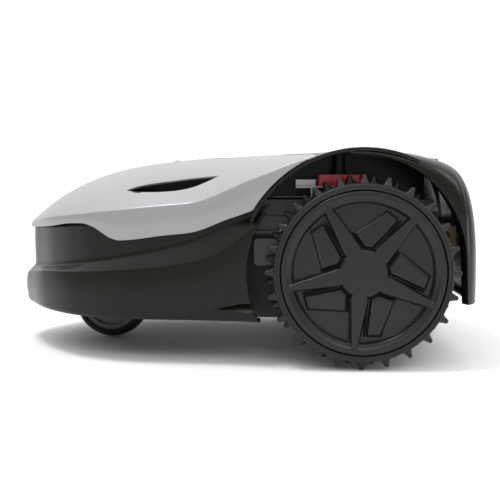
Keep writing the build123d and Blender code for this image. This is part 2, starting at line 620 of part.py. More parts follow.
# Cover dampers, on brackets on the inner lid beside the wheels and in the nose.
DAMPER_X = (fore(-131), fore(126))
DAMPER_Y = (TRAY_HALF - 24.0, wide(66))
DAMPER_LOW = (DECK_LID_TOP + 16.0, NOSE_LID_TOP + 4.0)
DAMPER_H = 14.0
CAP_H = 5.0


def build_damper_brackets():
    """Pressed steel brackets under the four dampers, the rear pair with a forward tongue and a raised edge."""
    low = DAMPER_LOW[0]
    x, y = DAMPER_X[0], DAMPER_Y[0]
    rear = block(x - 27, x + 53, y - 11, y + 11, low - 2, low)
    rear = rear + block(x + 29, x + 53, y + 4, y + 6, low, low + 7)
    rear = rear + block(x + 29, x + 53, y, y + 11, low + 6, low + 8)
    rear = rear + block(x - 27, x - 25, y - 11, y + 9, DECK_LID_TOP, low - 2)
    rear = rear + block(x + 33, x + 35, y - 11, y + 9, DECK_LID_TOP, low - 2)
    x, y, low = DAMPER_X[1], DAMPER_Y[1], DAMPER_LOW[1]
    front = block(x - 16, x + 16, y - 12, y + 12, NOSE_LID_TOP, low)
    return group(both_sides(rear) + both_sides(front))


def build_dampers():
    """Red elastomer dampers that the floating cover rests on."""
    x, y, low = DAMPER_X[0], DAMPER_Y[0], DAMPER_LOW[0]
    rear = block(x - 26, x + 27, y - 10, y + 10, low, low + DAMPER_H)
    rear = fillet(rear.edges().filter_by(Axis.Z), 4.0)
    x, y, low = DAMPER_X[1], DAMPER_Y[1], DAMPER_LOW[1]
    front = post(10.0, low, low + DAMPER_H, x, y)
    return group(both_sides(rear) + both_sides(front))


def build_damper_caps():
    """Black caps that slide on the dampers' tops and carry the cover's bosses."""
    caps = []
    for x, y, low in zip(DAMPER_X, DAMPER_Y, DAMPER_LOW):
        caps += both_sides(post(9.0, low + DAMPER_H, low + DAMPER_H + CAP_H, x, y))
    return group(caps)


def build_cover_bosses():
    """Moulded bosses under the cover that stand on the damper caps, and the strip under the hood's seam."""
    under = crown_solid(WALL)
    middle = fore(-62)
    strip = block(middle - 7, middle + 12, -wide(66), wide(66), TOP_Z - 30, TOP_Z) & under
    pieces = [strip - crown_solid(WALL + 2.5)]
    for x, y, low in zip(DAMPER_X, DAMPER_Y, DAMPER_LOW):
        seat = low + DAMPER_H + CAP_H
        boss = (post(7.0, seat, TOP_Z + 10, x, y) - post(2.0, seat - 1, seat + 8, x, y)) & under
        pieces += both_sides(boss)
    return group(pieces)


# Rear buffers, brackets and return springs behind the tray.
BUFFER_X = TRAY_REAR - 17.0
BUFFER_Y = TRAY_HALF - 18.0


def build_rear_buffers():
    """Tan buffers behind the tray that stop the cover's backward travel."""
    x, y = BUFFER_X, BUFFER_Y
    buffer = block(x - 3, x + 8, y - 10, y + 10, AXLE_Z + 27, AXLE_Z + 49)
    return group(both_sides(fillet(buffer.edges().filter_by(Axis.Y), 2.0)))


def build_rear_brackets():
    """Folded steel brackets on the tray's rear wall, under the buffers."""
    x, y, z = BUFFER_X, BUFFER_Y, AXLE_Z
    bracket = block(x - 5, TRAY_REAR, y - 9, y + 9, z + 25, z + 27)
    bracket = bracket + block(x - 4, TRAY_REAR, y - 9, y + 9, z + 13, z + 15)
    bracket = bracket + block(TRAY_REAR - 2, TRAY_REAR, y - 9, y + 9, z + 13, z + 27)
    bracket = bracket + post(5.0, z + 15, z + 20, x + 1, y) + post(2.2, z - 20, z + 13, x + 1, y)
    return group(both_sides(bracket))


def build_rear_springs():
    z = AXLE_Z
    return group(both_sides(spring(4.6, 0.9, z - 10, z + 13, 4.2, BUFFER_X + 1, BUFFER_Y)))


def build_side_pods():
    """Sensor pods on the tray's flanks, just ahead of the wheels."""
    pod = block(fore(-58), fore(-28), TRAY_HALF, TRAY_HALF + 9, AXLE_Z + 3, AXLE_Z + 35)
    return group(both_sides(fillet(pod.edges().filter_by(Axis.Y), 4.0)))


def build_loop_coils():
    """Boundary wire pick-up coils in the nose compartment."""
    x, y, z = fore(214), wide(28), WELL_TOP + WALL + 10
    coil = bar_y(5.0, y - 16, y + 16, x, z) + bar_y(8.0, y - 12, y + 12, x, z)
    return group(both_sides(coil))


# ---------------------------------------------------------------- caster
FORK_TOP = WELL_TOP - 3.0


def build_caster_fork():
    """The swivelling fork: a stem, a crown plate and two arms trailing to the axle."""
    fork = post(CASTER_STEM_R, FORK_TOP, WELL_TOP + 24, SWIVEL_X)
    fork = fork + post(20.0, FORK_TOP - 5, FORK_TOP, SWIVEL_X)
    fork = fork + post(9.5, WELL_TOP + 20.5, WELL_TOP + 22.5, SWIVEL_X)
    inner, outer = CASTER_W / 2 + 3, CASTER_W / 2 + 8
    fork = fork + block(CASTER_X - 4, SWIVEL_X + 12, -outer, outer, FORK_TOP - 5, FORK_TOP)
    arm_line = [(SWIVEL_X + 12, FORK_TOP), (CASTER_X + 9, CASTER_R - 6), (CASTER_X + 4, CASTER_R - 10),
                (CASTER_X - 4, CASTER_R - 10), (CASTER_X - 9, CASTER_R - 6), (CASTER_X - 4, FORK_TOP)]
    arm = side_cut(arm_line, inner, outer)
    for side in both_sides(arm):
        fork = fork + side
    return fork - bar_y(4.0, -outer - 1, outer + 1, CASTER_X, CASTER_R)


def build_caster_axle():
    end = CASTER_W / 2 + 8
    return bar_y(4.0, -end, end, CASTER_X, CASTER_R) + bar_y(6.5, end, end + 3, CASTER_X, CASTER_R)


def build_caster_hub():
    half = CASTER_W / 2
    hub = bar_y(CASTER_R - 12, -half + 3, half - 3, CASTER_X, CASTER_R)
    hub = hub - bar_y(4.0 + RUN_GAP, -half, half, CASTER_X, CASTER_R)
    dish = bar_y(CASTER_R - 18, half - 8, half, CASTER_X, CASTER_R)
    dish = dish - bar_y(9.0, half - 9, half + 1, CASTER_X, CASTER_R)
    for side in both_sides(dish):
        hub = hub - side
    return hub


def build_caster_tread():
    """The caster's crowned rubber tread."""
    half, side_r = CASTER_W / 2, CASTER_R - 9.0
    crown = ThreePointArc((side_r, -half), (CASTER_R, 0), (side_r, half))
    core = CASTER_R - 12.0
    rest = Polyline((side_r, half), (core, half - 1.5), (core, -half + 1.5), (side_r, -half))
    ring = revolve(make_face([crown, rest]), Axis.Y)
    return Pos(CASTER_X, 0, CASTER_R) * ring


# ---------------------------------------------------------------- drive wheels, about the axle, facing +Y
LUG_H = 10.0
LUGS = 24
TREAD_R = WHEEL_R - LUG_H
COVER_R = TREAD_R - 7.8
RIM_R = COVER_R - 3.2
PANEL_Y = FACE_Y - 9.0
RING_W = 10.0
WHEEL_SPOKES = [-30 + 72 * i for i in range(5)]
PATTERN = (COVER_R - RING_W) / 83.2


def wheel_plane(y):
    """The wheel's face seen from outside: right is backward for the left wheel, and up is up."""
    return Plane(origin=(0, y, 0), x_dir=(-1, 0, 0), z_dir=(0, 1, 0))


def spoke_points(turn, points):
    """Points given along and across a spoke that stands turn degrees clockwise from the top."""
    a = radians(turn)
    return [(PATTERN * (u * sin(a) - n * cos(a)), PATTERN * (u * cos(a) + n * sin(a))) for u, n in points]


def lug(row_y, turn):
    """A tapered tread lug, square to the tread."""
    base = Plane(origin=(0, 0, TREAD_R - 1.5)) * Rectangle(9.5, 13)
    tip = Plane(origin=(0, 0, WHEEL_R)) * Rectangle(3.4, 7)
    return Rot(0, turn, 0) * (Pos(0, row_y, 0) * loft([base, tip], ruled=True))


def tyre():
    """The drive tyre: a ring with a chamfered shoulder and two staggered rows of lugs."""
    face, back, seat = TYRE_OUT, TYRE_IN, FACE_Y - 15.5
    line = [(RIM_R, back), (TREAD_R - 3, back), (TREAD_R, back + 5), (TREAD_R, face - 5), (TREAD_R - 3.5, face),
            (COVER_R + 0.4, face), (COVER_R + 0.4, seat), (RIM_R, seat)]
    ring = revolve(Polygon(*line, align=None), Axis.Y)
    lugs = []
    for i in range(LUGS):
        lugs.append(lug(face - 11, i * 360 / LUGS))
        lugs.append(lug(back + 11, (i + 0.5) * 360 / LUGS))
    return ring + lugs


def rim():
    """The rim behind the cover: barrel, web, ribs and hub."""
    out, inn = FACE_Y - 16.0, TYRE_IN + 1
    body = bar_y(RIM_R, inn, out) - bar_y(RIM_R - 4, inn - 1, out + 1)
    body = body + (bar_y(RIM_R - 3, out - 12, out - 8) + bar_y(14.0, out - 28, out))
    for i in range(5):
        rib = block(-2, 2, out - 20, out - 11, 12, RIM_R - 3)
        body = body + Rot(0, 72 * i, 0) * rib
    return body - bar_y(SHAFT_R, inn - 20, out + 1)


def wheel_cover():
    """The star-patterned face: an outer ring, a recessed panel, five spokes and five raised fields."""
    ring = bar_y(COVER_R, FACE_Y - 15, FACE_Y) - bar_y(COVER_R - RING_W, PANEL_Y, FACE_Y + 1)
    ring = ring - bar_y(COVER_R - 4, FACE_Y - 16, PANEL_Y - WALL)
    step = bar_y(COVER_R - RING_W + 3, FACE_Y - 4, FACE_Y + 1)
    ring = ring - step
    star = Circle(29 * PATTERN)
    for turn in WHEEL_SPOKES:
        star = star + Polygon(*spoke_points(turn, [(20, -12.5), (84, -4.6), (84, 4.6), (20, 12.5)]), align=None)
    body = ring + extrude(wheel_plane(PANEL_Y - 0.1) * star, amount=FACE_Y - 1.5 - PANEL_Y)
    for turn in WHEEL_SPOKES:
        field = spoke_points(turn, [(68, 14.5), (31, 13.5), (26, 20), (28.6, 38), (67, 28)])
        body = body + extrude(wheel_plane(PANEL_Y - 0.1) * Polygon(*field, align=None), amount=4.1, taper=20)
    edge = bar_y(COVER_R + 5, PANEL_Y - 1, FACE_Y + 5) - bar_y(COVER_R, PANEL_Y - 2, FACE_Y + 6)
    return body - edge


def axle_shaft():
    return bar_y(SHAFT_R, TRAY_HALF - 18, FACE_Y - 16.0)


def hub_bolt():
    head = bar_y(9.0, FACE_Y - 16.0, FACE_Y - 12.5)
    return head - extrude(wheel_plane(FACE_Y - 14.5) * RegularPolygon(4.0, 6), amount=5)


WHEEL_PARTS = {"tyre": tyre, "rim": rim, "wheel_cover": wheel_cover, "axle_shaft": axle_shaft, "hub_bolt": hub_bolt,
               "gearmotor": gearmotor}


def wheel_nodes():
    """Each wheel part on both sides. The right one is the left one turned about the vertical."""
    for name, make in WHEEL_PARTS.items():
        piece = make()
        yield f"left_{name}", Pos(AXLE_X, 0, AXLE_Z) * piece
        yield f"right_{name}", Pos(AXLE_X, 0, AXLE_Z) * (Rot(0, 0, 180) * piece)


# ---------------------------------------------------------------- every node
NODES = {
    "hood": build_hood,
    "slot_liners": build_slot_liners,
    "rear_deck": build_deck,
    "front_skirt": build_skirt,
    "charging_contacts": build_charging_contacts,
    "control_panel": build_control_panel,
    "display_window": build_display,
    "control_lid": build_control_lid,
    "lid_hinge": build_lid_hinge,
    "dial_well": build_dial_well,
    "rain_sensor": build_rain_sensor,
    "stop_button": build_stop_button,
    "stop_housing": build_stop_housing,
    "stop_spring": build_stop_spring,
    "cover_bosses": build_cover_bosses,
    "damper_caps": build_damper_caps,
    "dampers": build_dampers,
    "damper_brackets": build_damper_brackets,
    "rear_buffers": build_rear_buffers,
    "rear_brackets": build_rear_brackets,
    "rear_springs": build_rear_springs,
    "side_pods": build_side_pods,
    "chassis_tray": build_tray,
    "chassis_gasket": build_gasket,
    "inner_lid": build_inner_lid,
    "lid_screws": build_lid_screws,
    "battery_pack": build_battery,
    "main_board": build_board,
    "loop_coils": build_loop_coils,
    "cutter_motor": build_cutter_motor,
    "motor_carriage": build_motor_carriage,
    "guide_rods": build_guide_rods,
    "height_dial": build_dial,
    "disc_hub": build_disc_hub,
    "cutting_disc": build_disc,
    "blade_screws": build_blade_screws,
    "caster_fork": build_caster_fork,
    "caster_axle": build_caster_axle,
    "caster_hub": build_caster_hub,
    "caster_tread": build_caster_tread,
}


def save(name, shape):
    export_step(shape, f"parts/{name}.step")


if __name__ == "__main__":
    os.makedirs("parts", exist_ok=True)
    for name, make in NODES.items():
        save(name, make())
    for index in range(3):
        save(f"blade_{index + 1}", build_blade(120 * index))
    for name, spot in zip(("power", "home", "start", "enter"), KEY_SPOTS):
        save(f"key_{name}", build_key(*spot))
    for name, shape in wheel_nodes():
        save(name, shape)
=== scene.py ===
import json
import logging
import math
from collections.abc import Callable
from dataclasses import dataclass, field
from enum import Enum

import bmesh
import bpy
import numpy as np
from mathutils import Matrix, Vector

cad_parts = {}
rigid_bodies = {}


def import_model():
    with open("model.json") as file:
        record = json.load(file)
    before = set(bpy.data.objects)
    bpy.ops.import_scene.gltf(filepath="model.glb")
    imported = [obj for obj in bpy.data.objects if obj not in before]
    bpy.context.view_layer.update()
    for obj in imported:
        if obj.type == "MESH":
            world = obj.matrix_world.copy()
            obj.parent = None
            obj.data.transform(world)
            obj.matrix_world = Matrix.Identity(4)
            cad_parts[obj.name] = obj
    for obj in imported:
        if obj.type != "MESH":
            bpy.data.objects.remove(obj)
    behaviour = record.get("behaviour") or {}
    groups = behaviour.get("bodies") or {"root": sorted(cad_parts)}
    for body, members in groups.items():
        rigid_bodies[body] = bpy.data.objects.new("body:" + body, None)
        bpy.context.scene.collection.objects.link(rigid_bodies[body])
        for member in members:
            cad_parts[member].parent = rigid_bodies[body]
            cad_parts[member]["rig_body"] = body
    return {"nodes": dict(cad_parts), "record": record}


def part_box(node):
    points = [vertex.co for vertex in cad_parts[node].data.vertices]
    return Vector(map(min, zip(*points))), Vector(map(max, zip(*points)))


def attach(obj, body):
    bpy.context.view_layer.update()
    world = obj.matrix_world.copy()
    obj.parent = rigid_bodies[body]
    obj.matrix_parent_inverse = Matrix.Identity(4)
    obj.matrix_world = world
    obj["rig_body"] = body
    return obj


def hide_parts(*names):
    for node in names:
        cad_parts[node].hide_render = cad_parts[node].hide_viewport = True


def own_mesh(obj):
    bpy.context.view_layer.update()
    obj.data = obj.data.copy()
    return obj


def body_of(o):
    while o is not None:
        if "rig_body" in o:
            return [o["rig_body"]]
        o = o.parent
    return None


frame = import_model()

log = logging.getLogger("mower")
MM = 0.001
NEAR_HOLE = 0.006               # how far beyond a hole's outline its skin may be split, in metres
ON_EDGE = 1e-12                 # a face centre this close to a hole's side counts as inside it

Rule = Callable[[np.ndarray], np.ndarray]
Points = tuple[tuple[float, float], ...]


# ---------------------------------------------------------------- curves and grids
@dataclass(frozen=True)
class Line:
    """A smooth curve through (position, value) pairs that never overshoots them.

    Between two points it is a cubic whose end slopes are the harmonic means of the neighbouring slopes.
    """

    points: Points

    def __call__(self, at: np.ndarray) -> np.ndarray:
        """Returns the curve's values.

        Args:
            at: Positions, in the same unit as the points.

        Returns:
            The values there, held constant outside the points.
        """
        xy = np.array(sorted(self.points), float)
        x, v = xy[:, 0], xy[:, 1]
        step = np.diff(x)
        slope = np.diff(v) / step
        both = slope[:-1] * slope[1:]
        safe = np.where(both > 0, slope[:-1] + slope[1:], 1.0)
        inner = np.where(both > 0, 2 * both / safe, 0.0)
        grade = np.concatenate([slope[:1], inner, slope[-1:]])
        a = np.clip(np.asarray(at, float), x[0], x[-1])
        i = np.clip(np.searchsorted(x, a, side="right") - 1, 0, len(step) - 1)
        t = (a - x[i]) / step[i]
        h0, h1 = (1 + 2 * t) * (1 - t) ** 2, t ** 2 * (3 - 2 * t)
        g0, g1 = t * (1 - t) ** 2, t ** 2 * (t - 1)
        return h0 * v[i] + h1 * v[i + 1] + step[i] * (g0 * grade[i] + g1 * grade[i + 1])


class Outline:
    """One side of a plan line, measured by length from the middle of the nose or tail."""

    def __init__(self, points: Points) -> None:
        """Fits smooth curves through the points.

        Args:
            points: (x, y) pairs in millimetres, the first on the middle plane.
        """
        xy = np.array(points, float)
        gap = np.linalg.norm(np.diff(xy, axis=0), axis=1)
        s = np.concatenate([[0.0], np.cumsum(gap)])
        along = np.concatenate([-s[:0:-1], s])
        self.length = float(s[-1])
        self.ahead = math.copysign(1.0, xy[0, 0])
        self.x = Line(tuple(zip(along, np.concatenate([xy[:0:-1, 0], xy[:, 0]]))))
        self.y = Line(tuple(zip(along, np.concatenate([-xy[:0:-1, 1], xy[:, 1]]))))

    def normal(self, s: np.ndarray, span: float = 0.5) -> tuple[np.ndarray, np.ndarray]:
        """Returns the unit direction square to the line, pointing inward.

        Args:
            s: Lengths along the line.
            span: The direction is taken over this length to each side, so a long one eases it round corners.

        Returns:
            Its x and y parts.
        """
        low, high = np.maximum(s - span, -self.length), np.minimum(s + span, self.length)
        dx, dy = self.x(high) - self.x(low), self.y(high) - self.y(low)
        size = np.hypot(dx, dy)
        return -self.ahead * np.abs(dy) / size, -np.abs(dx) / size

    def where_x(self, x: np.ndarray) -> np.ndarray:
        """Returns the length along the line at which it reaches a station.

        Args:
            x: Stations in millimetres.

        Returns:
            Lengths along the line.
        """
        s = np.linspace(0.0, self.length, 4000)
        xs = self.x(s)
        order = np.argsort(xs)
        return np.interp(x, xs[order], s[order])


def grid_faces(rows: int, cols: int, wrap_rows: bool = False, wrap_cols: bool = False) -> np.ndarray:
    """Returns the quads of a grid of points.

    Args:
        rows: Points along the first direction.
        cols: Points along the second direction.
        wrap_rows: Joins the last row to the first.
        wrap_cols: Joins the last column to the first.

    Returns:
        Vertex numbers, four per face.
    """
    i = np.arange(rows if wrap_rows else rows - 1)
    j = np.arange(cols if wrap_cols else cols - 1)
    i, j = np.meshgrid(i, j, indexing="ij")
    i2, j2 = (i + 1) % rows, (j + 1) % cols
    return np.stack([i * cols + j, i2 * cols + j, i2 * cols + j2, i * cols + j2], -1).reshape(-1, 4)


def surface(name: str, points: np.ndarray, faces: np.ndarray | None = None, *, flip: bool = False,
            sharp: float = 35.0, wrap_rows: bool = False, wrap_cols: bool = False) -> bpy.types.Object:
    """Makes an object from a grid of points, welding the places where the grid meets itself.

    Args:
        name: The object's name.
        points: Rows by columns by three, or a list of points if faces is given, in millimetres.
        faces: Quads, if points isn't a grid.
        flip: Turns the faces round.
        sharp: Edges that fold more than this many degrees are shaded sharp.
        wrap_rows: Joins the last row to the first.
        wrap_cols: Joins the last column to the first.

    Returns:
        The object, linked to the scene.
    """
    if faces is None:
        faces = grid_faces(points.shape[0], points.shape[1], wrap_rows, wrap_cols)
    flat = points.reshape(-1, 3) * MM
    _, first, back = np.unique(np.round(flat, 7), axis=0, return_index=True, return_inverse=True)
    faces = back.reshape(-1)[faces]
    if flip:
        faces = faces[:, ::-1]
    same = faces == np.roll(faces, -1, axis=1)
    quads = faces[~same.any(1)]
    quads = quads[(quads[:, 0] != quads[:, 2]) & (quads[:, 1] != quads[:, 3])]
    once = faces[same.sum(1) == 1]
    keep = ~same[same.sum(1) == 1]
    triangles = once[keep].reshape(-1, 3) if len(once) else np.zeros((0, 3), int)
    mesh = bpy.data.meshes.new(name)
    mesh.from_pydata(flat[first], [], quads.tolist() + triangles.tolist())
    mesh.validate()
    mesh.polygons.foreach_set("use_smooth", np.ones(len(mesh.polygons), bool))
    mesh.set_sharp_from_angle(angle=math.radians(sharp))
    obj = bpy.data.objects.new(name, mesh)
    bpy.context.scene.collection.objects.link(obj)
    return obj


def thicken(obj: bpy.types.Object, wall: float) -> None:
    """Gives a skin its wall, inward from the face that is seen.

    Args:
        obj: The skin.
        wall: Its thickness in millimetres.
    """
    modifier = obj.modifiers.new("wall", "SOLIDIFY")
    modifier.thickness = wall * MM
    modifier.offset = -1.0
    modifier.use_even_offset = False


def prism(name: str, ring: np.ndarray, start: float, end: float, axis: int) -> bpy.types.Object:
    """Makes a closed prism.

    Args:
        name: The object's name.
        ring: The outline, points by two, in millimetres, in the two directions other than axis.
        start: Where the prism starts along the axis.
        end: Where it ends.
        axis: 1 for a prism along Y, 2 for one along Z.

    Returns:
        The object.
    """
    count = len(ring)
    levels = np.repeat([start, end], count)
    pair = np.tile(ring, (2, 1))
    points = np.insert(pair, axis, levels, axis=1)
    mesh = bpy.data.meshes.new(name)
    index = np.arange(count)
    sides = np.stack([index, (index + 1) % count, (index + 1) % count + count, index + count], -1).tolist()
    mesh.from_pydata(points * MM, [], sides + [index[::-1].tolist(), (index + count).tolist()])
    obj = bpy.data.objects.new(name, mesh)
    bpy.context.scene.collection.objects.link(obj)
    made = bmesh.new()
    made.from_mesh(mesh)
    bmesh.ops.recalc_face_normals(made, faces=made.faces)
    made.to_mesh(mesh)
    made.free()
    return obj


def trim(obj: bpy.types.Object, ring: np.ndarray, axis: int, beyond: float) -> None:
    """Cuts a hole along one axis through a skin that has no wall yet.

    The faces round the hole are split along each side of its outline, and those inside it are taken away.

    Args:
        obj: The skin.
        ring: A convex outline seen along the axis, points by two, in millimetres.
        axis: 0, 1 or 2 for a hole along X, Y or Z.
        beyond: Only faces further out than this along the axis, on its sign's side, are cut, in millimetres.
    """
    across = [k for k in range(3) if k != axis]
    ahead = np.roll(ring, -1, axis=0) - ring
    if (ring[:, 0] * ahead[:, 1] - ring[:, 1] * ahead[:, 0]).sum() < 0:
        ring = ring[::-1]
        ahead = np.roll(ring, -1, axis=0) - ring
    ring, ahead = ring * MM, ahead * MM
    made = bmesh.new()
    made.from_mesh(obj.data)
    middle = (ring.min(0) + ring.max(0)) / 2
    reach = (ring.max(0) - ring.min(0)) / 2 + NEAR_HOLE
    centre = np.array([face.calc_center_median() for face in made.faces])
    close = (np.abs(centre[:, across] - middle) < reach).all(1)
    close &= centre[:, axis] * math.copysign(1, beyond) > abs(beyond) * MM
    faces = [face for face, chosen in zip(made.faces, close) if chosen]
    for start, along in zip(ring, ahead):
        parts = set(faces)
        parts.update(edge for face in faces for edge in face.edges)
        parts.update(vert for face in faces for vert in face.verts)
        place, way = np.zeros(3), np.zeros(3)
        place[across], way[across] = start, (along[1], -along[0])
        cut = bmesh.ops.bisect_plane(made, geom=list(parts), plane_co=place, plane_no=way, dist=1e-7)
        faces = [item for item in cut["geom"] if isinstance(item, bmesh.types.BMFace)]
    centre = np.array([face.calc_center_median() for face in faces])[:, across]
    off = centre[:, None] - ring
    inside = (off[..., 0] * ahead[:, 1] - off[..., 1] * ahead[:, 0] < ON_EDGE).all(1)
    gone = [face for face, chosen in zip(faces, inside) if chosen]
    bmesh.ops.delete(made, geom=gone, context="FACES")
    made.to_mesh(obj.data)
    made.free()
    obj.data.set_sharp_from_angle(angle=math.radians(35.0))
    log.info("%s: %d faces taken out of the hole", obj.name, len(gone))


def circle(x: float, y: float, radius: float, count: int = 96) -> np.ndarray:
    """Returns points on a circle.

    Args:
        x: Centre.
        y: Centre.
        radius: Radius.
        count: Number of points.

    Returns:
        The points, count by two.
    """
    turn = np.linspace(0, 2 * np.pi, count, endpoint=False)
    return np.stack([x + radius * np.cos(turn), y + radius * np.sin(turn)], -1)


def mirrored(left: np.ndarray) -> np.ndarray:
    """Joins a grid of the left side to its mirror image.

    Args:
        left: Rows by columns by three, the last row on the middle plane.

    Returns:
        Both sides as one grid.
    """
    return np.concatenate([left, left[::-1] * np.array([1.0, -1.0, 1.0])])


# ---------------------------------------------------------------- finishes
DUST = (0.30, 0.29, 0.26)
PATCHES, SMEARS = 14.0, 160.0   # scales of the slow and the fine noise
COAT_ROUGH = 0.12
BUMP_DEEP = 0.0004              # in metres


@dataclass(frozen=True)
class Finish:
    """One finish, made of procedural shading only.

    The base colour drifts with a slow noise, the roughness with a finer one, and a bump gives the moulded
    texture. Dust lies on faces that look up.
    """

    name: str
    colour: tuple[float, float, float]
    rough: float = 0.4
    metal: float = 0.0
    coat: float = 0.0
    drift: float = 0.12
    grain: float = 900.0
    bump: float = 0.05
    streak: float = 0.04
    dust: float = 0.0
    specular: float = 0.5

    def build(self) -> bpy.types.Material:
        """Makes the material.

        Returns:
            The material, with its nodes.
        """
        made = bpy.data.materials.new(self.name)
        made.use_nodes = True
        nodes, links = made.node_tree.nodes, made.node_tree.links
        shader = nodes["Principled BSDF"]
        place = nodes.new("ShaderNodeTexCoord")

        def noise(scale: float, detail: float) -> bpy.types.Node:
            node = nodes.new("ShaderNodeTexNoise")
            node.inputs["Scale"].default_value = scale
            node.inputs["Detail"].default_value = detail
            links.new(place.outputs["Object"], node.inputs["Vector"])
            return node

        def ramp(source: bpy.types.NodeSocket, low: float, high: float, start: float,
                 end: float) -> bpy.types.Node:
            node = nodes.new("ShaderNodeMapRange")
            node.inputs["From Min"].default_value = start
            node.inputs["From Max"].default_value = end
            node.inputs["To Min"].default_value = low
            node.inputs["To Max"].default_value = high
            links.new(source, node.inputs["Value"])
            return node

        def mix(factor: bpy.types.NodeSocket, first: bpy.types.NodeSocket | tuple,
                second: bpy.types.NodeSocket | tuple) -> bpy.types.NodeSocket:
            node = nodes.new("ShaderNodeMix")
            node.data_type = "RGBA"
            links.new(factor, node.inputs[0])
            for socket, value in ((node.inputs[6], first), (node.inputs[7], second)):
                if isinstance(value, tuple):
                    socket.default_value = (*value, 1.0)
                else:
                    links.new(value, socket)
            return node.outputs[2]

        slow, fine, grain = noise(PATCHES, 4.0), noise(SMEARS, 6.0), noise(self.grain, 3.0)
        darker = tuple(c * (1 - self.drift) for c in self.colour)
        lighter = tuple(min(1.0, c * (1 + self.drift)) for c in self.colour)
        colour = mix(ramp(slow.outputs["Fac"], 0, 1, 0.3, 0.7).outputs["Result"], darker, lighter)
        if self.dust:
            shape = nodes.new("ShaderNodeNewGeometry")
            split = nodes.new("ShaderNodeSeparateXYZ")
            links.new(shape.outputs["Normal"], split.inputs["Vector"])
            up = ramp(split.outputs["Z"], 0.0, self.dust, 0.2, 1.0)
            patch = nodes.new("ShaderNodeMath")
            patch.operation = "MULTIPLY"
            links.new(up.outputs["Result"], patch.inputs[0])
            links.new(ramp(fine.outputs["Fac"], 0.2, 1.0, 0.35, 0.75).outputs["Result"], patch.inputs[1])
            colour = mix(patch.outputs["Value"], colour, DUST)
        links.new(colour, shader.inputs["Base Color"])
        shiny, dull = max(0.03, self.rough - self.streak), min(1.0, self.rough + self.streak)
        rough = ramp(fine.outputs["Fac"], shiny, dull, 0.3, 0.7)
        links.new(rough.outputs["Result"], shader.inputs["Roughness"])
        shader.inputs["Metallic"].default_value = self.metal
        shader.inputs["Coat Weight"].default_value = self.coat
        shader.inputs["Coat Roughness"].default_value = COAT_ROUGH
        shader.inputs["Specular IOR Level"].default_value = self.specular
        height = nodes.new("ShaderNodeBump")
        height.inputs["Strength"].default_value = self.bump
        height.inputs["Distance"].default_value = BUMP_DEEP
        links.new(grain.outputs["Fac"], height.inputs["Height"])
        links.new(height.outputs["Normal"], shader.inputs["Normal"])
        return made


class Slot(Enum):
    """The record's material slots and the finish of each."""

    hood_shell = Finish("silver", (0.295, 0.293, 0.305), rough=0.34, metal=0.25, coat=0.15,
                        drift=0.03, bump=0.04)
    black_shell = Finish("gloss_black", (0.0085, 0.0082, 0.0062), rough=0.25, specular=0.19,
                         drift=0.12, bump=0.02)
    black_moulding = Finish("satin_black", (0.0095, 0.0092, 0.0075), rough=0.45, specular=0.25,
                            drift=0.2, bump=0.15)
    wheel_plastic = Finish("wheel_grey", (0.0105, 0.0115, 0.0090), rough=0.30, specular=0.33,
                           drift=0.10, bump=0.06)
    tread_rubber = Finish("tread", (0.0105, 0.0115, 0.0092), rough=0.46, specular=0.34,
                          drift=0.2, bump=0.2, streak=0.08, dust=0.01)
    caster_rubber = Finish("caster_rubber", (0.012, 0.012, 0.011), rough=0.6, specular=0.3,
                           drift=0.2, bump=0.3, streak=0.08)
    grey_moulding = Finish("grey_plastic", (0.075, 0.082, 0.085), rough=0.45, drift=0.15, bump=0.2)
    damper_red = Finish("damper_red", (0.90, 0.012, 0.02), rough=0.22, coat=0.5, drift=0.1, bump=0.05)
    stop_red = Finish("stop_red", (0.60, 0.015, 0.012), rough=0.25, coat=0.4, drift=0.06, bump=0.03)
    steel = Finish("steel", (0.55, 0.55, 0.54), rough=0.28, metal=1.0, drift=0.1, grain=1500.0, bump=0.08)
    zinc = Finish("zinc", (0.50, 0.50, 0.49), rough=0.38, metal=0.9, drift=0.2, bump=0.15)
    brass_contact = Finish("brass", (0.72, 0.50, 0.22), rough=0.25, metal=1.0, drift=0.12, bump=0.06)
    board_green = Finish("board", (0.012, 0.10, 0.04), rough=0.35, drift=0.2, bump=0.1)
    battery_wrap = Finish("battery_wrap", (0.02, 0.06, 0.22), rough=0.25, drift=0.15, bump=0.1)
    display_glass = Finish("display", (0.05, 0.065, 0.055), rough=0.08, coat=1.0, drift=0.05, bump=0.0)
    key_grey = Finish("keys", (0.22, 0.225, 0.23), rough=0.55, drift=0.1, bump=0.2)
    gasket_rubber = Finish("gasket", (0.015, 0.015, 0.015), rough=0.7, drift=0.2, bump=0.3)
    buffer_tan = Finish("buffer_tan", (0.36, 0.24, 0.12), rough=0.55, drift=0.25, bump=0.25)


class Paint:
    """Makes each slot's material once and puts it on pieces."""

    def __init__(self) -> None:
        """Starts with no materials."""
        self.made: dict[str, bpy.types.Material] = {}

    def of(self, name: str) -> bpy.types.Material:
        """Returns a slot's material.

        Args:
            name: The slot.

        Returns:
            Its material.
        """
        if name not in self.made:
            self.made[name] = Slot[name].value.build()
        return self.made[name]

    def frame(self) -> None:
        """Paints every node of the frame with its slot's material."""
        for part in frame["record"]["subparts"]:
            node = frame["nodes"][part["node"]]
            node.data.materials.clear()
            node.data.materials.append(self.of(part["material_slot"]))

    def piece(self, obj: bpy.types.Object, slot: str, body: str, *nodes: str) -> None:
        """Paints a new piece and ties it to the frame.

        Args:
            obj: The piece.
            slot: Its material slot.
            body: The body it rides on.
            nodes: The frame's nodes it stands for.
        """
        obj.data.materials.clear()
        obj.data.materials.append(self.of(slot))
        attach(obj, body)
        if nodes:
            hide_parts(*nodes)


# ---------------------------------------------------------------- the cover
AXLE = (-152.0, 111.0)          # drive axle, x and z
SIDE_Y = 188.0                  # half the cover's width behind the nose


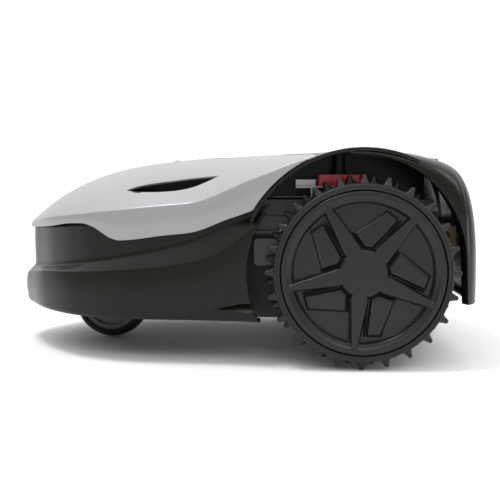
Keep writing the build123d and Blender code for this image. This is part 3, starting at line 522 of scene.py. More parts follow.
@dataclass(frozen=True)
class Crown:
    """The cover's top surface.

    Across each station it is a parabola: the middle's height, less the drop at the side times the square of
    the share of the way out.
    """

    top: Line = Line(((291, 152), (281, 160), (267, 172), (248, 187), (222, 203), (185, 220), (139, 233),
                      (93, 240), (36, 245.5), (-10, 248), (-59, 250), (-100, 251), (-152, 252),
                      (-202, 248.5), (-236, 241.5), (-260, 233.5), (-291, 222)))
    drop: Line = Line(((291, 4), (276, 6.5), (262, 13), (229, 29.5), (176, 47.5), (118, 54.6), (51, 56),
                       (34, 54), (-4, 42), (-36, 30), (-70, 17), (-100, 9), (-152, 2.5), (-202, 3),
                       (-291, 3)))
    reach: Line = Line(((291, 12), (262, 52), (229, 98), (176, 141), (118, 160), (40, 167), (-4, 178),
                        (-30, SIDE_Y), (-291, SIDE_Y)))

    def z(self, x: np.ndarray, y: np.ndarray) -> np.ndarray:
        """Returns the surface's height.

        Args:
            x: Stations.
            y: Distances from the middle plane.

        Returns:
            Heights in millimetres.
        """
        return self.top(x) - self.drop(x) * (y / self.reach(x)) ** 2


def spaced(count: int, near: float = 1.0) -> np.ndarray:
    """Returns shares from 0 to 1, closer together near 0 as near grows above 1.

    Args:
        count: Number of shares.
        near: The power they are raised to.

    Returns:
        The shares.
    """
    return np.linspace(0.0, 1.0, count) ** near


def corner(a: np.ndarray, b: np.ndarray, c: np.ndarray, share: np.ndarray) -> np.ndarray:
    """Returns a rounded corner: the quadratic curve from a to c that b pulls outward.

    Args:
        a: Start points, columns by three.
        b: Corner points.
        c: End points.
        share: Shares along the curve.

    Returns:
        Shares by columns by three.
    """
    t = share[:, None, None]
    return (1 - t) ** 2 * a + 2 * t * (1 - t) * b + t ** 2 * c


@dataclass
class Hood:
    """The silver top shell: a crowned top, a crease, and a side band that ends in an S-shaped lower edge."""

    crown: Crown = field(default_factory=Crown)
    half: Points = ((283, 0), (276, 26), (262, 52), (229, 98), (176, 141), (118, 160), (40, 167),
                    (0, 175), (-30, 184), (-62, 187.5), (-104, SIDE_Y), (-130, SIDE_Y))
    edge: Line = Line(((291, 151.5), (229, 158), (196, 163), (179, 163.5), (165, 160), (152, 152.5),
                       (141, 146.2), (130, 143.6), (118, 144.4), (80, 149.5), (45, 153.5), (32, 157),
                       (5, 168), (-19, 176.5), (-60, 192), (-130, 214)))
    seam_y: tuple[float, ...] = (0, 70, 136, 200)
    seam_x: tuple[float, ...] = (-62, -62, -98, -99.5)
    wall: float = 3.0
    gap: float = 0.8
    lip_r: float = 141.0
    stations: int = 230
    top_rows: int = 90
    nose_x: float = 190.0
    bulge: float = 2.2
    bulge_band: float = 35.0
    hem: float = 0.03
    hem_in: float = 1.6
    crest: float = 0.008
    dip: float = 1.6
    dip_wide: float = 10.0

    def ends(self, level: np.ndarray, outline: Outline) -> np.ndarray:
        """Finds where each row of the side band meets the wheel arch's rim.

        Args:
            level: Share of the way from the lower edge to the crease, one per row.
            outline: The hood's plan line.

        Returns:
            Lengths along the plan line.
        """
        s = np.linspace(outline.where_x(np.array([40.0]))[0], outline.length, 1500)
        x = outline.x(s)
        low, high = self.edge(x), self.crown.z(x, outline.y(s))
        z = low + (high - low) * level[:, None]
        inside = (x - AXLE[0]) ** 2 + (z - AXLE[1]) ** 2 < (self.lip_r + self.gap) ** 2
        return s[np.argmax(inside, axis=1)]

    def slot_dip(self, x: np.ndarray, z: np.ndarray) -> np.ndarray:
        """Returns how far the surface dips round the grip slot, falling off with the distance from its spine.

        Args:
            x: Stations.
            z: Heights.

        Returns:
            Depths in millimetres.
        """
        start, end = np.array([118.0, 204.0]), np.array([22.0, 217.0])
        run = end - start
        share = np.clip(((x - start[0]) * run[0] + (z - start[1]) * run[1]) / (run @ run), 0, 1)
        away = np.hypot(x - start[0] - share * run[0], z - start[1] - share * run[1])
        return self.dip * np.exp(-(away / self.dip_wide) ** 2)

    def half_grid(self) -> np.ndarray:
        """Returns one side of the hood, from the lower edge up over the crease to the middle plane.

        Returns:
            Rows by stations by three, in millimetres.
        """
        outline = Outline(self.half)
        share = spaced(self.stations, 1.25)

        def band(level: np.ndarray, inset: np.ndarray) -> np.ndarray:
            s = self.ends(level, outline)[:, None] * share
            x, y = outline.x(s), outline.y(s)
            nx, ny = outline.normal(s)
            low, high = self.edge(x), self.crown.z(x, y)
            z = low + (high - low) * level[:, None]
            full = np.clip((high - low) / self.bulge_band, 0, 1)
            shift = inset[:, None] - self.bulge * np.sin(np.pi * level[:, None]) * full
            return np.stack([x + nx * shift, y + ny * shift, z], -1)

        def top(inner: np.ndarray) -> np.ndarray:
            end_x = np.interp(SIDE_Y * (1 - inner), self.seam_y, self.seam_x) + self.gap
            s = outline.where_x(end_x)[:, None] * share
            x, y = outline.x(s), outline.y(s)
            middle = np.minimum(x, self.nose_x)
            px, py = x + (middle - x) * inner[:, None], y * (1 - inner[:, None])
            z = self.crown.z(px, py)
            dip = self.slot_dip(px, z)
            return np.stack([px, py - 0.55 * dip, z - 0.8 * dip], -1)

        levels = np.concatenate([np.linspace(self.hem, 0.88, 14), np.array([0.92, 0.95, 0.968])])
        hem = band(np.array([self.hem]), np.array([self.hem_in]))
        side = band(levels, np.zeros(len(levels)))
        edge = band(np.array([1.0]), np.zeros(1))
        crown = top(spaced(self.top_rows, 1.15) * (1 - self.crest) + self.crest)
        crease = corner(side[-1], edge[0], crown[0], np.linspace(0, 1, 7)[1:-1])
        return np.concatenate([hem, side, crease, crown])

    def slot_ring(self) -> np.ndarray:
        """Returns the grip slot's outline in x and z: a long upper curve and a fuller lower one.

        Returns:
            Points by two.
        """
        upper = Line(((14, 221), (48, 218), (84, 213.2), (116, 208), (129, 203)))
        lower = Line(((14, 221), (30, 213), (48, 206), (72, 202), (96, 201), (114, 201.0), (129, 203)))
        rear, front = upper.points[0][0], upper.points[-1][0]
        x = rear + (front - rear) * (1 - np.cos(np.linspace(0, np.pi, 22))) / 2
        there, back = np.stack([x, upper(x)], -1), np.stack([x, lower(x)], -1)
        return np.concatenate([there, back[-2:0:-1]])

    def build(self, paint: Paint) -> None:
        """Builds the hood with its wall, its dial hole and its two slots.

        Args:
            paint: The materials.
        """
        hood = surface("hood_skin", mirrored(self.half_grid()), flip=True, sharp=40.0)
        lo, hi = (np.array(v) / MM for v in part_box("dial_well"))
        trim(hood, circle((lo[0] + hi[0]) / 2, 0.0, (hi[0] - lo[0]) / 2, 48), 2, 200.0)
        trim(hood, self.slot_ring(), 1, 80.0)
        trim(hood, self.slot_ring(), 1, -80.0)
        thicken(hood, self.wall)
        paint.piece(hood, "hood_shell", "cover", "hood")


@dataclass
class Deck:
    """The black rear deck: a crowned top that rolls over into the bands round the wheels and the tail."""

    crown: Crown = field(default_factory=Crown)
    half: Points = ((-291, 0), (-290.9, 60), (-290.6, 110), (-288.6, 148), (-285, 160), (-279, 170),
                    (-270, 178), (-258, 183), (-225, 187), (-190, SIDE_Y), (-152, SIDE_Y),
                    (-97.5, SIDE_Y))
    seam_y: tuple[float, ...] = (0, 70, 136, 200)
    seam_x: tuple[float, ...] = (-62, -62, -98, -98)
    front_x: float = -98.0
    notch_x: float = -134.0
    notch_long: float = 6.0
    notch_deep: float = 3.0
    rim_r: float = 136.5
    rim_x: float = 120.0
    rim_z: float = 132.0
    low: float = 73.0
    wall: float = 3.0
    rib_y: float = 82.0
    rib_low: float = 195.0
    rib_rear: float = -238.0
    rib_front: float = -34.0
    rib_bite: float = 0.4
    flange_in: float = 9.0
    flange_up: float = 0.6
    square: float = 3.2
    ease: float = 48.0
    pull_x: float = -190.0
    roll: Line = Line(((-291, 46), (-260, 52), (-226, 50), (-200, 44), (-177, 30), (-152, 14), (-134, 7),
                       (-98, 5)))

    def stations(self) -> tuple[np.ndarray, np.ndarray]:
        """Returns the places along the plan line and the height of the shell's lower edge at each.

        Returns:
            Lengths along the plan line, and heights.
        """
        outline = Outline(self.half)
        front = np.linspace(self.front_x, self.notch_x - self.notch_long, 26)
        front_z = AXLE[1] + np.sqrt(self.rim_r ** 2 - (front - AXLE[0]) ** 2)
        turn = np.radians(np.linspace(1.0, 80.0, 62))
        rear = AXLE[0] - self.rim_x * np.sin(turn)
        rear_z = AXLE[1] + self.rim_z * np.cos(turn)
        front_z = front_z - np.clip((self.notch_x - front) / self.notch_long, 0, 1) * self.notch_deep
        s = outline.where_x(np.concatenate([front, rear]))
        drop = s[-1] - 0.5 * np.arange(1, 10)
        drop_z = np.linspace(rear_z[-1], self.low, 10)[1:]
        tail = drop[-1] * (1 - spaced(60))[1:]
        low = np.concatenate([front_z, rear_z, drop_z, np.full(len(tail), self.low)])
        return np.concatenate([s, drop, tail]), low

    def half_grid(self) -> np.ndarray:
        """Returns one side of the deck, from its lower edge up over the roll to the middle plane.

        Returns:
            Rows by stations by three, in millimetres.
        """
        outline = Outline(self.half)
        s, low = self.stations()
        x, y = outline.x(s), outline.y(s)
        nx, ny = outline.normal(s, self.ease)
        roll = np.minimum(self.roll(x), np.maximum(y, 30.0))
        ix, iy = x + nx * roll, np.maximum(y + ny * roll, 0.0)
        turn = np.linspace(0, np.pi / 2, 36)[:, None]
        into = 1 - np.cos(turn) ** (2 / self.square)
        rise = np.sin(turn) ** (2 / self.square)
        px, py = x + (ix - x) * into, y + (iy - y) * into
        z = low + (self.crown.z(px, py) - low) * rise
        skin = np.stack([px, py, z], -1)
        inner = spaced(40)[1:, None]
        end_x = np.interp(iy * (1 - inner), self.seam_y, self.seam_x)
        middle = np.clip(ix, -225.0, self.front_x)
        tx, ty = ix + (middle - ix) * inner, iy * (1 - inner)
        share = np.clip((ix - self.pull_x) / (self.front_x - self.pull_x), 0, 1)
        tx = tx + (end_x - self.front_x) * share
        top = np.stack([tx, ty, self.crown.z(tx, ty)], -1)
        flange = np.stack([x + nx * self.flange_in, y + ny * self.flange_in, low + self.flange_up], -1)[None]
        return np.concatenate([flange, skin, top])

    def build(self, paint: Paint) -> None:
        """Builds the deck with its wall, its openings for the bay and the stop button, and its two ribs.

        Args:
            paint: The materials.
        """
        deck = surface("deck_skin", mirrored(self.half_grid()), flip=True, sharp=50.0)
        lo, hi = (np.array(v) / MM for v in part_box("control_lid"))
        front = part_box("lid_hinge")[1][0] / MM - 1.0
        rear, near, far = lo[0] - 1, lo[1] - 1, hi[1] + 1
        bay = np.array([[rear, near], [front, near], [front, far], [rear, far]])
        lo, hi = (np.array(v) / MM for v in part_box("stop_housing"))
        ring = circle((lo[0] + hi[0]) / 2, 0.0, (hi[0] - lo[0]) / 2, 36)
        trim(deck, bay, 2, 225.0)
        trim(deck, ring, 2, 215.0)
        thicken(deck, self.wall)
        for side, name in ((1.0, "left"), (-1.0, "right")):
            x = np.linspace(self.rib_rear, self.rib_front, 40)
            top = self.crown.z(x, np.full(40, self.rib_y)) - self.wall + self.rib_bite
            foot = np.array([[self.rib_front, self.rib_low], [self.rib_rear, self.rib_low]])
            ring = np.concatenate([np.stack([x, top], -1), foot])
            ends = sorted((side * self.rib_y, side * (self.rib_y + self.wall)))
            rib = prism(f"{name}_deck_rib", ring, ends[0], ends[1], 1)
            paint.piece(rib, "black_shell", "cover", "rear_deck")
        paint.piece(deck, "black_shell", "cover", "rear_deck")


@dataclass
class ArchRims:
    """The thin rims in front of the wheels, with the barrel-shaped return behind each."""

    outer: float = 141.0
    inner: float = 136.6
    face: float = 188.4
    depth: float = 136.0
    start: float = 24.5
    end: float = 116.0

    def build(self, paint: Paint) -> None:
        """Sweeps the rim's section round the axle on both sides.

        Args:
            paint: The materials.
        """
        f, o, i = self.face, self.outer, self.inner
        section = np.array([[self.depth, o - 0.4], [f - 9, o - 0.4], [f - 1.2, o - 0.2], [f - 0.3, o - 0.7],
                            [f, o - 1.6], [f, i + 1.0], [f - 0.4, i + 0.3], [f - 1.4, i], [f - 14, i + 0.6],
                            [self.depth, i + 1.2]])
        turn = np.radians(np.linspace(self.start, self.end, 90))[:, None]
        r, y = section[:, 1], section[:, 0]
        x = AXLE[0] + r * np.cos(turn)
        z = AXLE[1] + r * np.sin(turn)
        points = np.stack([x, np.broadcast_to(y, x.shape), z], -1)
        middle = points[[0, -1]].mean(1, keepdims=True)
        caps = np.broadcast_to(middle, (2, points.shape[1], 3))
        points = np.concatenate([caps[:1], points, caps[1:]])
        for side, name in ((1.0, "left"), (-1.0, "right")):
            placed = points * np.array([1.0, side, 1.0])
            rim = surface(f"{name}_arch_rim", placed, wrap_cols=True, flip=side > 0)
            paint.piece(rim, "black_shell", "cover", "rear_deck")


def flat(value: float) -> Rule:
    """Returns a rule that gives the same value at every station.

    Args:
        value: The value.

    Returns:
        The rule.
    """
    def rule(x: np.ndarray) -> np.ndarray:
        return np.full_like(x, value)
    return rule


def between(low: Rule, high: Rule, share: float) -> Rule:
    """Returns a rule that lies a share of the way from one rule to another.

    Args:
        low: The rule at share 0.
        high: The rule at share 1.
        share: The share.

    Returns:
        The rule.
    """
    def rule(x: np.ndarray) -> np.ndarray:
        return low(x) + (high(x) - low(x)) * share
    return rule


@dataclass
class Skirt:
    """The black front skirt: a lower wall, a bright ledge, and the recessed band under the hood."""

    half: Points = ((291, 0), (285, 24), (270, 52), (237, 101), (182, 147), (120, 168), (40, 174),
                    (-5, 178), (-30, 184), (-50, SIDE_Y))
    low: float = 52.0
    ledge_low: Line = Line(((291, 89), (237, 102), (182, 106), (135, 109.5), (79, 114.5), (45, 120),
                            (28, 124), (11, 131), (-7, 143.5), (-26, 159), (-40, 170), (-50, 177)))
    ledge_high: Line = Line(((291, 101), (225, 110), (200, 114), (158, 120), (82, 134), (45, 144),
                             (8, 160), (-24, 173), (-50, 182)))
    top: Line = Line(((291, 158), (160, 166), (120, 160), (28, 167), (-50, 190)))
    step: Line = Line(((291, 11), (237, 14.5), (200, 14), (170, 11.5), (120, 10.5), (40, 11.5), (-10, 10),
                       (-50, 6)))
    arch_r: float = 131.0
    wall: float = 2.5
    foot: float = 10.0
    below_ledge: float = 1.5
    bulge: float = 1.4
    soft: float = 0.12
    contact_rim: float = 3.0
    contact_half: float = 8.0
    contact_in: float = 11.0
    scoop_front: tuple[float, float] = (24.0, 64.0)
    scoop_long: float = 41.0
    scoop_high: float = 8.5
    scoop_deep: float = 7.5

    def scoop(self, x: np.ndarray, z: np.ndarray) -> np.ndarray:
        """Returns the depth of the wedge-shaped scoop near the lower rear corner.

        Its floor slopes up and inward over a triangle that widens toward the wheel. The wall returns above.

        Args:
            x: Stations.
            z: Heights.

        Returns:
            Depths in millimetres.
        """
        share = np.clip((self.scoop_front[0] - x) / self.scoop_long, 0, 1)
        tall = np.maximum(self.scoop_high * share, 1e-6)
        up = (z - self.scoop_front[1]) / tall
        back = np.clip(1 - (z - self.scoop_front[1] - tall) / 1.4, 0, 1)
        return self.scoop_deep * share * np.clip(up, 0, 1) * back

    def build(self, paint: Paint) -> None:
        """Builds the skirt from rows that each end on the wheel arch's circle.

        Args:
            paint: The materials.
        """
        outline = Outline(self.half)
        probe = np.linspace(outline.where_x(np.array([60.0]))[0], outline.length, 1500)
        share = spaced(220, 1.2)

        def row(inset: Rule, height: Rule) -> np.ndarray:
            xs = outline.x(probe)
            inside = (xs - AXLE[0]) ** 2 + (height(xs) - AXLE[1]) ** 2 < self.arch_r ** 2
            end = probe[np.argmax(inside)] if inside.any() else outline.length
            s = end * share
            x, y = outline.x(s), outline.y(s)
            nx, ny = outline.normal(s)
            q = inset(x)
            return np.stack([x + nx * q, y + ny * q, height(x)], -1)

        def wall_z(level: float) -> Rule:
            lift = self.foot + self.below_ledge

            def rule(x: np.ndarray) -> np.ndarray:
                return self.low + self.foot + (self.ledge_low(x) - self.low - lift) * level
            return rule

        face, soft = flat(0.0), self.soft
        rows = [row(flat(12.0), flat(self.low + 2.5)), row(flat(9.0), flat(self.low + 0.4))]
        a, b, c = row(flat(7.0), flat(self.low)), row(face, flat(self.low)), row(face, wall_z(0.0))
        rows += list(corner(a, b, c, np.linspace(0, 1, 9)))
        levels = np.concatenate([np.linspace(0, 0.3, 28)[1:], np.linspace(0.3, 1, 12)[1:]])
        rows += [row(flat(-self.bulge * math.sin(math.pi * v)), wall_z(v)) for v in levels]
        b = row(face, self.ledge_low)
        c = row(between(face, self.step, soft), between(self.ledge_low, self.ledge_high, soft))
        rows += list(corner(rows[-1], b, c, np.linspace(0, 1, 6)[1:]))
        for v in np.linspace(soft, 1 - soft, 8)[1:]:
            rows.append(row(between(face, self.step, v), between(self.ledge_low, self.ledge_high, v)))
        b = row(self.step, self.ledge_high)
        c = row(self.step, between(self.ledge_high, self.top, soft))
        rows += list(corner(rows[-1], b, c, np.linspace(0, 1, 6)[1:]))
        for v in np.linspace(soft, 1.0, 8)[1:]:
            rows.append(row(self.step, between(self.ledge_high, self.top, v)))
        left = np.stack(rows)
        left[..., 1] -= self.scoop(left[..., 0], left[..., 2])
        points = np.concatenate([left[:, ::-1] * np.array([1.0, -1.0, 1.0]), left], axis=1)
        skirt = surface("skirt_skin", points, flip=True, sharp=45.0)
        lo, hi = (np.array(v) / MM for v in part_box("charging_contacts"))
        for side in (-1, 1):
            y, half = side * (hi[1] - self.contact_in), self.contact_half
            foot, head = lo[2] + self.contact_rim, hi[2] - self.contact_rim
            ring = np.array([[y - half, foot], [y + half, foot], [y + half, head], [y - half, head]])
            trim(skirt, ring, 0, 250.0)
        thicken(skirt, self.wall)
        paint.piece(skirt, "black_shell", "cover", "front_skirt")


# ---------------------------------------------------------------- drive wheels
@dataclass(frozen=True)
class WheelFace:
    """The star-patterned face, as a height over each point of a disc.

    Each raised shape is a convex polygon. Its height rises over a bevel inward from the nearest edge.
    """

    floor: float = 9.0
    arm_high: float = 8.2
    arm_bevel: float = 3.6
    panel_high: float = 4.2
    panel_bevel: float = 4.6
    groove: float = 0.8
    groove_long: float = 44.0
    spokes: tuple[float, ...] = (-30.0, 42.0, 114.0, 186.0, 258.0)

    @staticmethod
    def inside(x: np.ndarray, z: np.ndarray, corners: np.ndarray) -> np.ndarray:
        """Returns the distance inside a convex polygon, negative outside.

        Args:
            x: Points, to the right.
            z: Points, upward.
            corners: The polygon, clockwise.

        Returns:
            Distances in millimetres.
        """
        ahead = np.roll(corners, -1, axis=0) - corners
        ahead = ahead / np.linalg.norm(ahead, axis=1, keepdims=True)
        depth = [(x - c[0]) * d[1] - (z - c[1]) * d[0] for c, d in zip(corners, ahead)]
        return np.min(depth, axis=0)

    @staticmethod
    def polar(turn: float, points: Points) -> np.ndarray:
        """Turns (radius, degrees from a spoke) pairs into points.

        Args:
            turn: The spoke's angle, clockwise from the top.
            points: The pairs.

        Returns:
            Points by two, right and up.
        """
        r, a = np.array(points).T
        a = np.radians(a + turn)
        return np.stack([r * np.sin(a), r * np.cos(a)], -1)

    def depth(self, x: np.ndarray, z: np.ndarray) -> np.ndarray:
        """Returns how far the face lies behind its outermost plane.

        Args:
            x: Points, to the right as seen from outside.
            z: Points, upward.

        Returns:
            Depths in millimetres.
        """
        r = np.hypot(x, z)
        ring = Line(((0, 0), (76.6, 0), (77.4, 0.25), (80.6, 5.2), (81.4, 5.8), (83.0, 6.0), (83.6, 6.6),
                     (85.6, 7.9), (86.6, 8.3), (90.8, 8.35), (91.6, 8.1), (92.2, 7.2), (92.6, 5.0)))
        height = ring(r)
        corners = tuple((29.3, 27.0 + 72 * k + d) for k in range(5) for d in (0.0, 25.0))
        hub = self.polar(self.spokes[0], corners)
        star = self.inside(x, z, hub)
        for turn in self.spokes:
            arm = self.polar(turn, ((0.01, 0.0), (30.0, -20.0), (90.0, -2.6), (90.0, 3.6), (29.5, 27.0)))
            star = np.maximum(star, self.inside(x, z, arm))
            panel = self.polar(turn, ((32.6, -21.0), (32.0, -37.0), (45.0, -50.0), (70.4, -20.7),
                                      (68.0, -10.6)))
            block = self.inside(x, z, panel)
            near = self.polar(turn, ((30.5, -22.5), (71.0, -9.2)))
            run = (near[1] - near[0]) / np.linalg.norm(near[1] - near[0])
            off = (x - near[0][0]) * run[1] - (z - near[0][1]) * run[0]
            along = (x - near[0][0]) * run[0] + (z - near[0][1]) * run[1]
            ramp = np.clip((block + self.panel_bevel) / self.panel_bevel, 0, 1)
            raised = self.panel_high * (1 - (1 - ramp) ** 1.6)
            groove = np.exp(-(off / self.groove) ** 2) * ((along > 0) & (along < self.groove_long))
            height = np.maximum(height, raised * (1 - 0.85 * groove))
        arms = self.arm_high * (1 - (1 - np.clip((star + 0.1) / self.arm_bevel, 0, 1)) ** 1.8)
        return self.floor - np.maximum(height, arms)


@dataclass
class Wheel:
    """One drive wheel's visible skin: the face, the tyre and its lugs."""

    side: float
    face_y: float = 200.0
    tread_r: float = 101.0
    tip_r: float = 111.0
    back: float = 14.5
    face_steps: int = 620
    tyre_steps: int = 288
    lug_steps: int = 20
    lugs: int = 24
    pattern: WheelFace = field(default_factory=WheelFace)

    @property
    def name(self) -> str:
        """The body's side, as a word."""
        return "left" if self.side > 0 else "right"

    def place(self, points: np.ndarray) -> np.ndarray:
        """Moves points from the wheel's own place to the axle.

        Args:
            points: Points about the wheel's centre, with y as the distance from the middle plane.

        Returns:
            Points in the row frame. The right wheel is the left one turned about the vertical.
        """
        return points * np.array([self.side, self.side, 1.0]) + np.array([AXLE[0], 0.0, AXLE[1]])

    def face(self) -> bpy.types.Object:
        """Builds the star-patterned face on a polar grid, closed by a rim behind it.

        Returns:
            The object.
        """
        r = np.concatenate([np.linspace(0.0, 74.0, 78), np.linspace(74.6, 92.9, 34)])[:, None]
        turn = np.linspace(0, 2 * np.pi, self.face_steps, endpoint=False)
        right, up = r * np.sin(turn), r * np.cos(turn)
        y = self.face_y - 0.3 - self.pattern.depth(right, up)
        points = np.stack([-right, y, up], -1)
        back = points[-1:].copy()
        back[..., 1] = self.face_y - self.back
        hub = back * np.array([0.0, 1.0, 0.0])
        points = np.concatenate([points, back, hub])
        return surface(f"{self.name}_wheel_face", self.place(points), wrap_cols=True, flip=True,
                       sharp=50.0)

    def tyre(self) -> bpy.types.Object:
        """Builds the tyre as a section turned about the axle.

        Returns:
            The object.
        """
        f, b, t = self.face_y - 1.0, self.face_y - 51.0, self.tread_r
        section = np.array([[93.5, f - 9], [93.5, f - 1.4], [93.9, f - 0.7], [94.8, f - 0.4],
                            [96.6, f - 0.5], [97.0, f - 1.0], [97.6, f - 1.1], [98.2, f - 0.7],
                            [99.3, f - 0.8], [100.2, f - 1.7], [t, f - 4.0], [t + 0.2, f - 9],
                            [t - 1.2, f - 18.5], [t - 1.4, f - 25], [t - 1.2, f - 31.5], [t + 0.2, b + 9],
                            [t, b + 4], [t - 1.0, b + 1.4], [t - 4, b], [90.3, b], [90.3, f - 9]])
        turn = np.linspace(0, 2 * np.pi, self.tyre_steps, endpoint=False)[:, None]
        x, z = section[:, 0] * np.sin(turn), section[:, 0] * np.cos(turn)
        points = np.stack([x, np.broadcast_to(section[:, 1], x.shape), z], -1)
        return surface(f"{self.name}_tyre_skin", self.place(points), wrap_rows=True, wrap_cols=True,
                       flip=True, sharp=40.0)

    def lug_rows(self) -> bpy.types.Object:
        """Builds the lugs: superellipse sections that taper with a hollow flank to a rounded tip.

        Returns:
            The object.
        """
        level = np.array([-0.16, -0.16, 0.0, 0.1, 0.22, 0.38, 0.56, 0.74, 0.87, 0.95, 0.99, 1.0])[:, None]
        round_tip = np.sqrt(np.clip(1 - np.clip((level - 0.84) / 0.165, 0, 1) ** 2, 0, 1))
        left = 1 - np.clip(level, 0, 1)
        along = (2.5 + 3.6 * left ** 1.7) * round_tip
        across = (4.2 + 3.4 * left ** 1.6) * (0.25 + 0.75 * round_tip) * (level < 1)
        along[0], across[0] = 0.0, 0.0
        turn = np.linspace(0, 2 * np.pi, self.lug_steps, endpoint=False)
        cos, sin = np.cos(turn), np.sin(turn)
        u = along * np.sign(cos) * np.abs(cos) ** 0.7
        v = across * np.sign(sin) * np.abs(sin) ** 0.7
        w = np.broadcast_to(self.tread_r + level * (self.tip_r - 0.2 - self.tread_r), u.shape)
        lug = np.stack([u, v, w], -1).reshape(-1, 3)
        faces = grid_faces(len(level), self.lug_steps, wrap_cols=True)
        rows = ((self.face_y - 12.0, 0.0), (self.face_y - 40.0, 0.5))
        points, index = [], []
        for y, shift in rows:
            angle = (np.arange(self.lugs) + shift) * 2 * np.pi / self.lugs
            c, s = np.cos(angle)[:, None], np.sin(angle)[:, None]
            x = lug[:, 0] * c + lug[:, 2] * s
            z = -lug[:, 0] * s + lug[:, 2] * c
            points.append(np.stack([x, np.broadcast_to(lug[:, 1] + y, x.shape), z], -1).reshape(-1, 3))
            start = (len(index) * self.lugs + np.arange(self.lugs)) * len(lug)
            index.append((faces[None] + start[:, None, None]).reshape(-1, 4))
        return surface(f"{self.name}_lugs", self.place(np.concatenate(points)), np.concatenate(index),
                       flip=True, sharp=60.0)

    def build(self, paint: Paint) -> None:
        """Builds the wheel's skins and ties them to its body.

        Args:
            paint: The materials.
        """
        body = f"{self.name}_wheel"
        paint.piece(self.face(), "wheel_plastic", body, f"{self.name}_wheel_cover")
        paint.piece(self.tyre(), "tread_rubber", body, f"{self.name}_tyre")
        paint.piece(self.lug_rows(), "tread_rubber", body, f"{self.name}_tyre")


@dataclass
class StopSpring:
    """The coil spring under the stop button, built as a fixed helix."""

    turns: float = 3.0
    wire: float = 0.9
    travel: float = 4.0

    def build(self, paint: Paint) -> None:
        """Sweeps a round wire along a helix and ties it to the stop button's joint.

        Args:
            paint: The materials.
        """
        lo, hi = (np.array(v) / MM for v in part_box("stop_spring"))
        middle, radius = (lo + hi) / 2, (hi[0] - lo[0]) / 2 - self.wire
        low, high = lo[2] + self.wire, hi[2] - self.wire
        share = np.linspace(0, 1, 150)[:, None]
        turn = 2 * np.pi * self.turns * share
        around = np.linspace(0, 2 * np.pi, 12, endpoint=False)
        tip = np.where((share == 0) | (share == 1), 0.0, self.wire)
        r = radius + tip * np.cos(around)
        z = low + (high - low) * share + tip * np.sin(around)
        points = np.stack([middle[0] + r * np.cos(turn), middle[1] + r * np.sin(turn), z], -1)
        spring = surface("stop_coil", points, wrap_cols=True, flip=True, sharp=60.0)
        paint.piece(spring, "steel", body_of(frame["nodes"]["stop_spring"])[0], "stop_spring")
        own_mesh(spring)


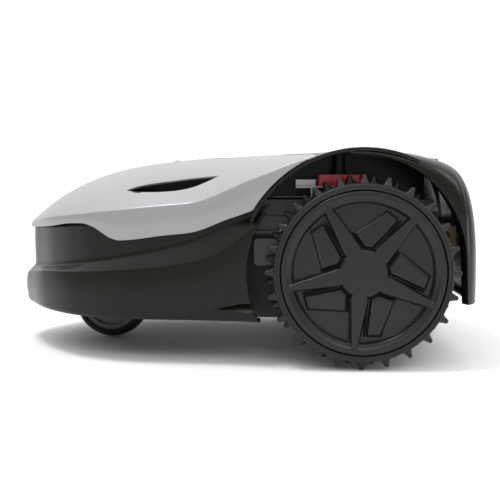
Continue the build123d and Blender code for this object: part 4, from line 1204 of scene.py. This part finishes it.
# ---------------------------------------------------------------- studio
@dataclass
class Studio:
    """A pale floor, a light surround, soft lamps and the camera."""

    eye: tuple[float, float, float] = (-0.0551, 1.0307, 0.2103)
    yaw: float = 2.05
    pitch: float = 5.0
    lens: float = 54.0
    back: float = 1.06
    front: float = 0.40
    zenith: float = 1.5

    def floor(self) -> None:
        """Lays the floor, with a faint unevenness in its colour."""
        mesh = bpy.data.meshes.new("studio_floor")
        mesh.from_pydata([(-60, -60, 0), (60, -60, 0), (60, 60, 0), (-60, 60, 0)], [], [(0, 1, 2, 3)])
        floor = bpy.data.objects.new("studio_floor", mesh)
        bpy.context.scene.collection.objects.link(floor)
        paper = Finish("studio_paper", (0.86, 0.86, 0.86), rough=0.8, drift=0.01, grain=60.0, bump=0.01)
        mesh.materials.append(paper.build())

    def surround(self) -> None:
        """Sets the world to white behind the mower, falling off to grey on the side it is seen from."""
        world = bpy.data.worlds.new("studio")
        world.use_nodes = True
        nodes, links = world.node_tree.nodes, world.node_tree.links
        place = nodes.new("ShaderNodeTexCoord")
        split = nodes.new("ShaderNodeSeparateXYZ")
        links.new(place.outputs["Generated"], split.inputs["Vector"])

        def fall(axis: str, start: float, end: float) -> bpy.types.Node:
            node = nodes.new("ShaderNodeMapRange")
            node.interpolation_type = "SMOOTHSTEP"
            node.inputs["From Min"].default_value = start
            node.inputs["From Max"].default_value = end
            links.new(split.outputs[axis], node.inputs["Value"])
            return node

        side, top = fall("Y", -0.75, -0.1), fall("Z", 0.25, 0.75)
        side.inputs["To Min"].default_value = self.back
        side.inputs["To Max"].default_value = self.front
        both = nodes.new("ShaderNodeMix")
        links.new(top.outputs["Result"], both.inputs[0])
        links.new(side.outputs["Result"], both.inputs[2])
        both.inputs[3].default_value = self.zenith
        links.new(both.outputs[0], nodes["Background"].inputs["Strength"])
        nodes["Background"].inputs["Color"].default_value = (1.0, 1.0, 1.0, 1.0)
        bpy.context.scene.world = world

    def lamp(self, name: str, at: tuple[float, float, float], aim: tuple[float, float, float],
             size: tuple[float, float], power: float) -> None:
        """Hangs one rectangular lamp.

        Args:
            name: Its name.
            at: Its place in metres.
            aim: The point it faces.
            size: Its width and height in metres.
            power: Its power in watts.
        """
        data = bpy.data.lights.new(name, "AREA")
        data.shape = "RECTANGLE"
        data.size, data.size_y = size
        data.energy = power
        lamp = bpy.data.objects.new(name, data)
        lamp.location = at
        lamp.rotation_euler = (Vector(aim) - Vector(at)).to_track_quat("-Z", "Y").to_euler()
        bpy.context.scene.collection.objects.link(lamp)

    def camera(self) -> None:
        """Places the camera beside the mower's left wheel, looking slightly down."""
        data = bpy.data.cameras.new("camera")
        data.lens = self.lens
        data.sensor_width = 36.0
        data.dof.use_dof = False
        data.clip_start = 0.01
        yaw, pitch = math.radians(self.yaw), math.radians(self.pitch)
        ahead = Vector((math.cos(pitch) * math.sin(yaw), -math.cos(pitch) * math.cos(yaw), -math.sin(pitch)))
        camera = bpy.data.objects.new("camera", data)
        camera.location = self.eye
        camera.rotation_euler = ahead.to_track_quat("-Z", "Y").to_euler()
        bpy.context.scene.collection.objects.link(camera)
        bpy.context.scene.camera = camera

    def build(self) -> None:
        """Builds the whole studio."""
        self.floor()
        self.surround()
        self.lamp("strip", (-0.6, 1.5, 1.3), (-0.15, 0.2, 0.1), (1.2, 0.15), 4.0)
        self.lamp("ledge", (0.5, 0.32, 1.7), (0.1, 0.17, 0.12), (0.36, 0.36), 12.0)
        self.lamp("rear", (-1.5, 0.3, 1.0), (-0.2, 0.1, 0.15), (0.3, 0.8), 4.0)
        self.camera()
        scene = bpy.context.scene
        scene.view_settings.view_transform = "Standard"
        scene.view_settings.look = "None"


def main() -> None:
    """Dresses the frame: paints its nodes, builds the skins, and sets up the studio."""
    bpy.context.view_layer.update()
    paint = Paint()
    paint.frame()
    Hood().build(paint)
    log.info("hood built")
    Deck().build(paint)
    ArchRims().build(paint)
    log.info("deck and arch rims built")
    Skirt().build(paint)
    log.info("skirt built")
    for side in (1.0, -1.0):
        Wheel(side).build(paint)
    StopSpring().build(paint)
    log.info("wheels and spring built")
    Studio().build()


if __name__ == "__main__":
    logging.basicConfig(level=logging.INFO)
    main()
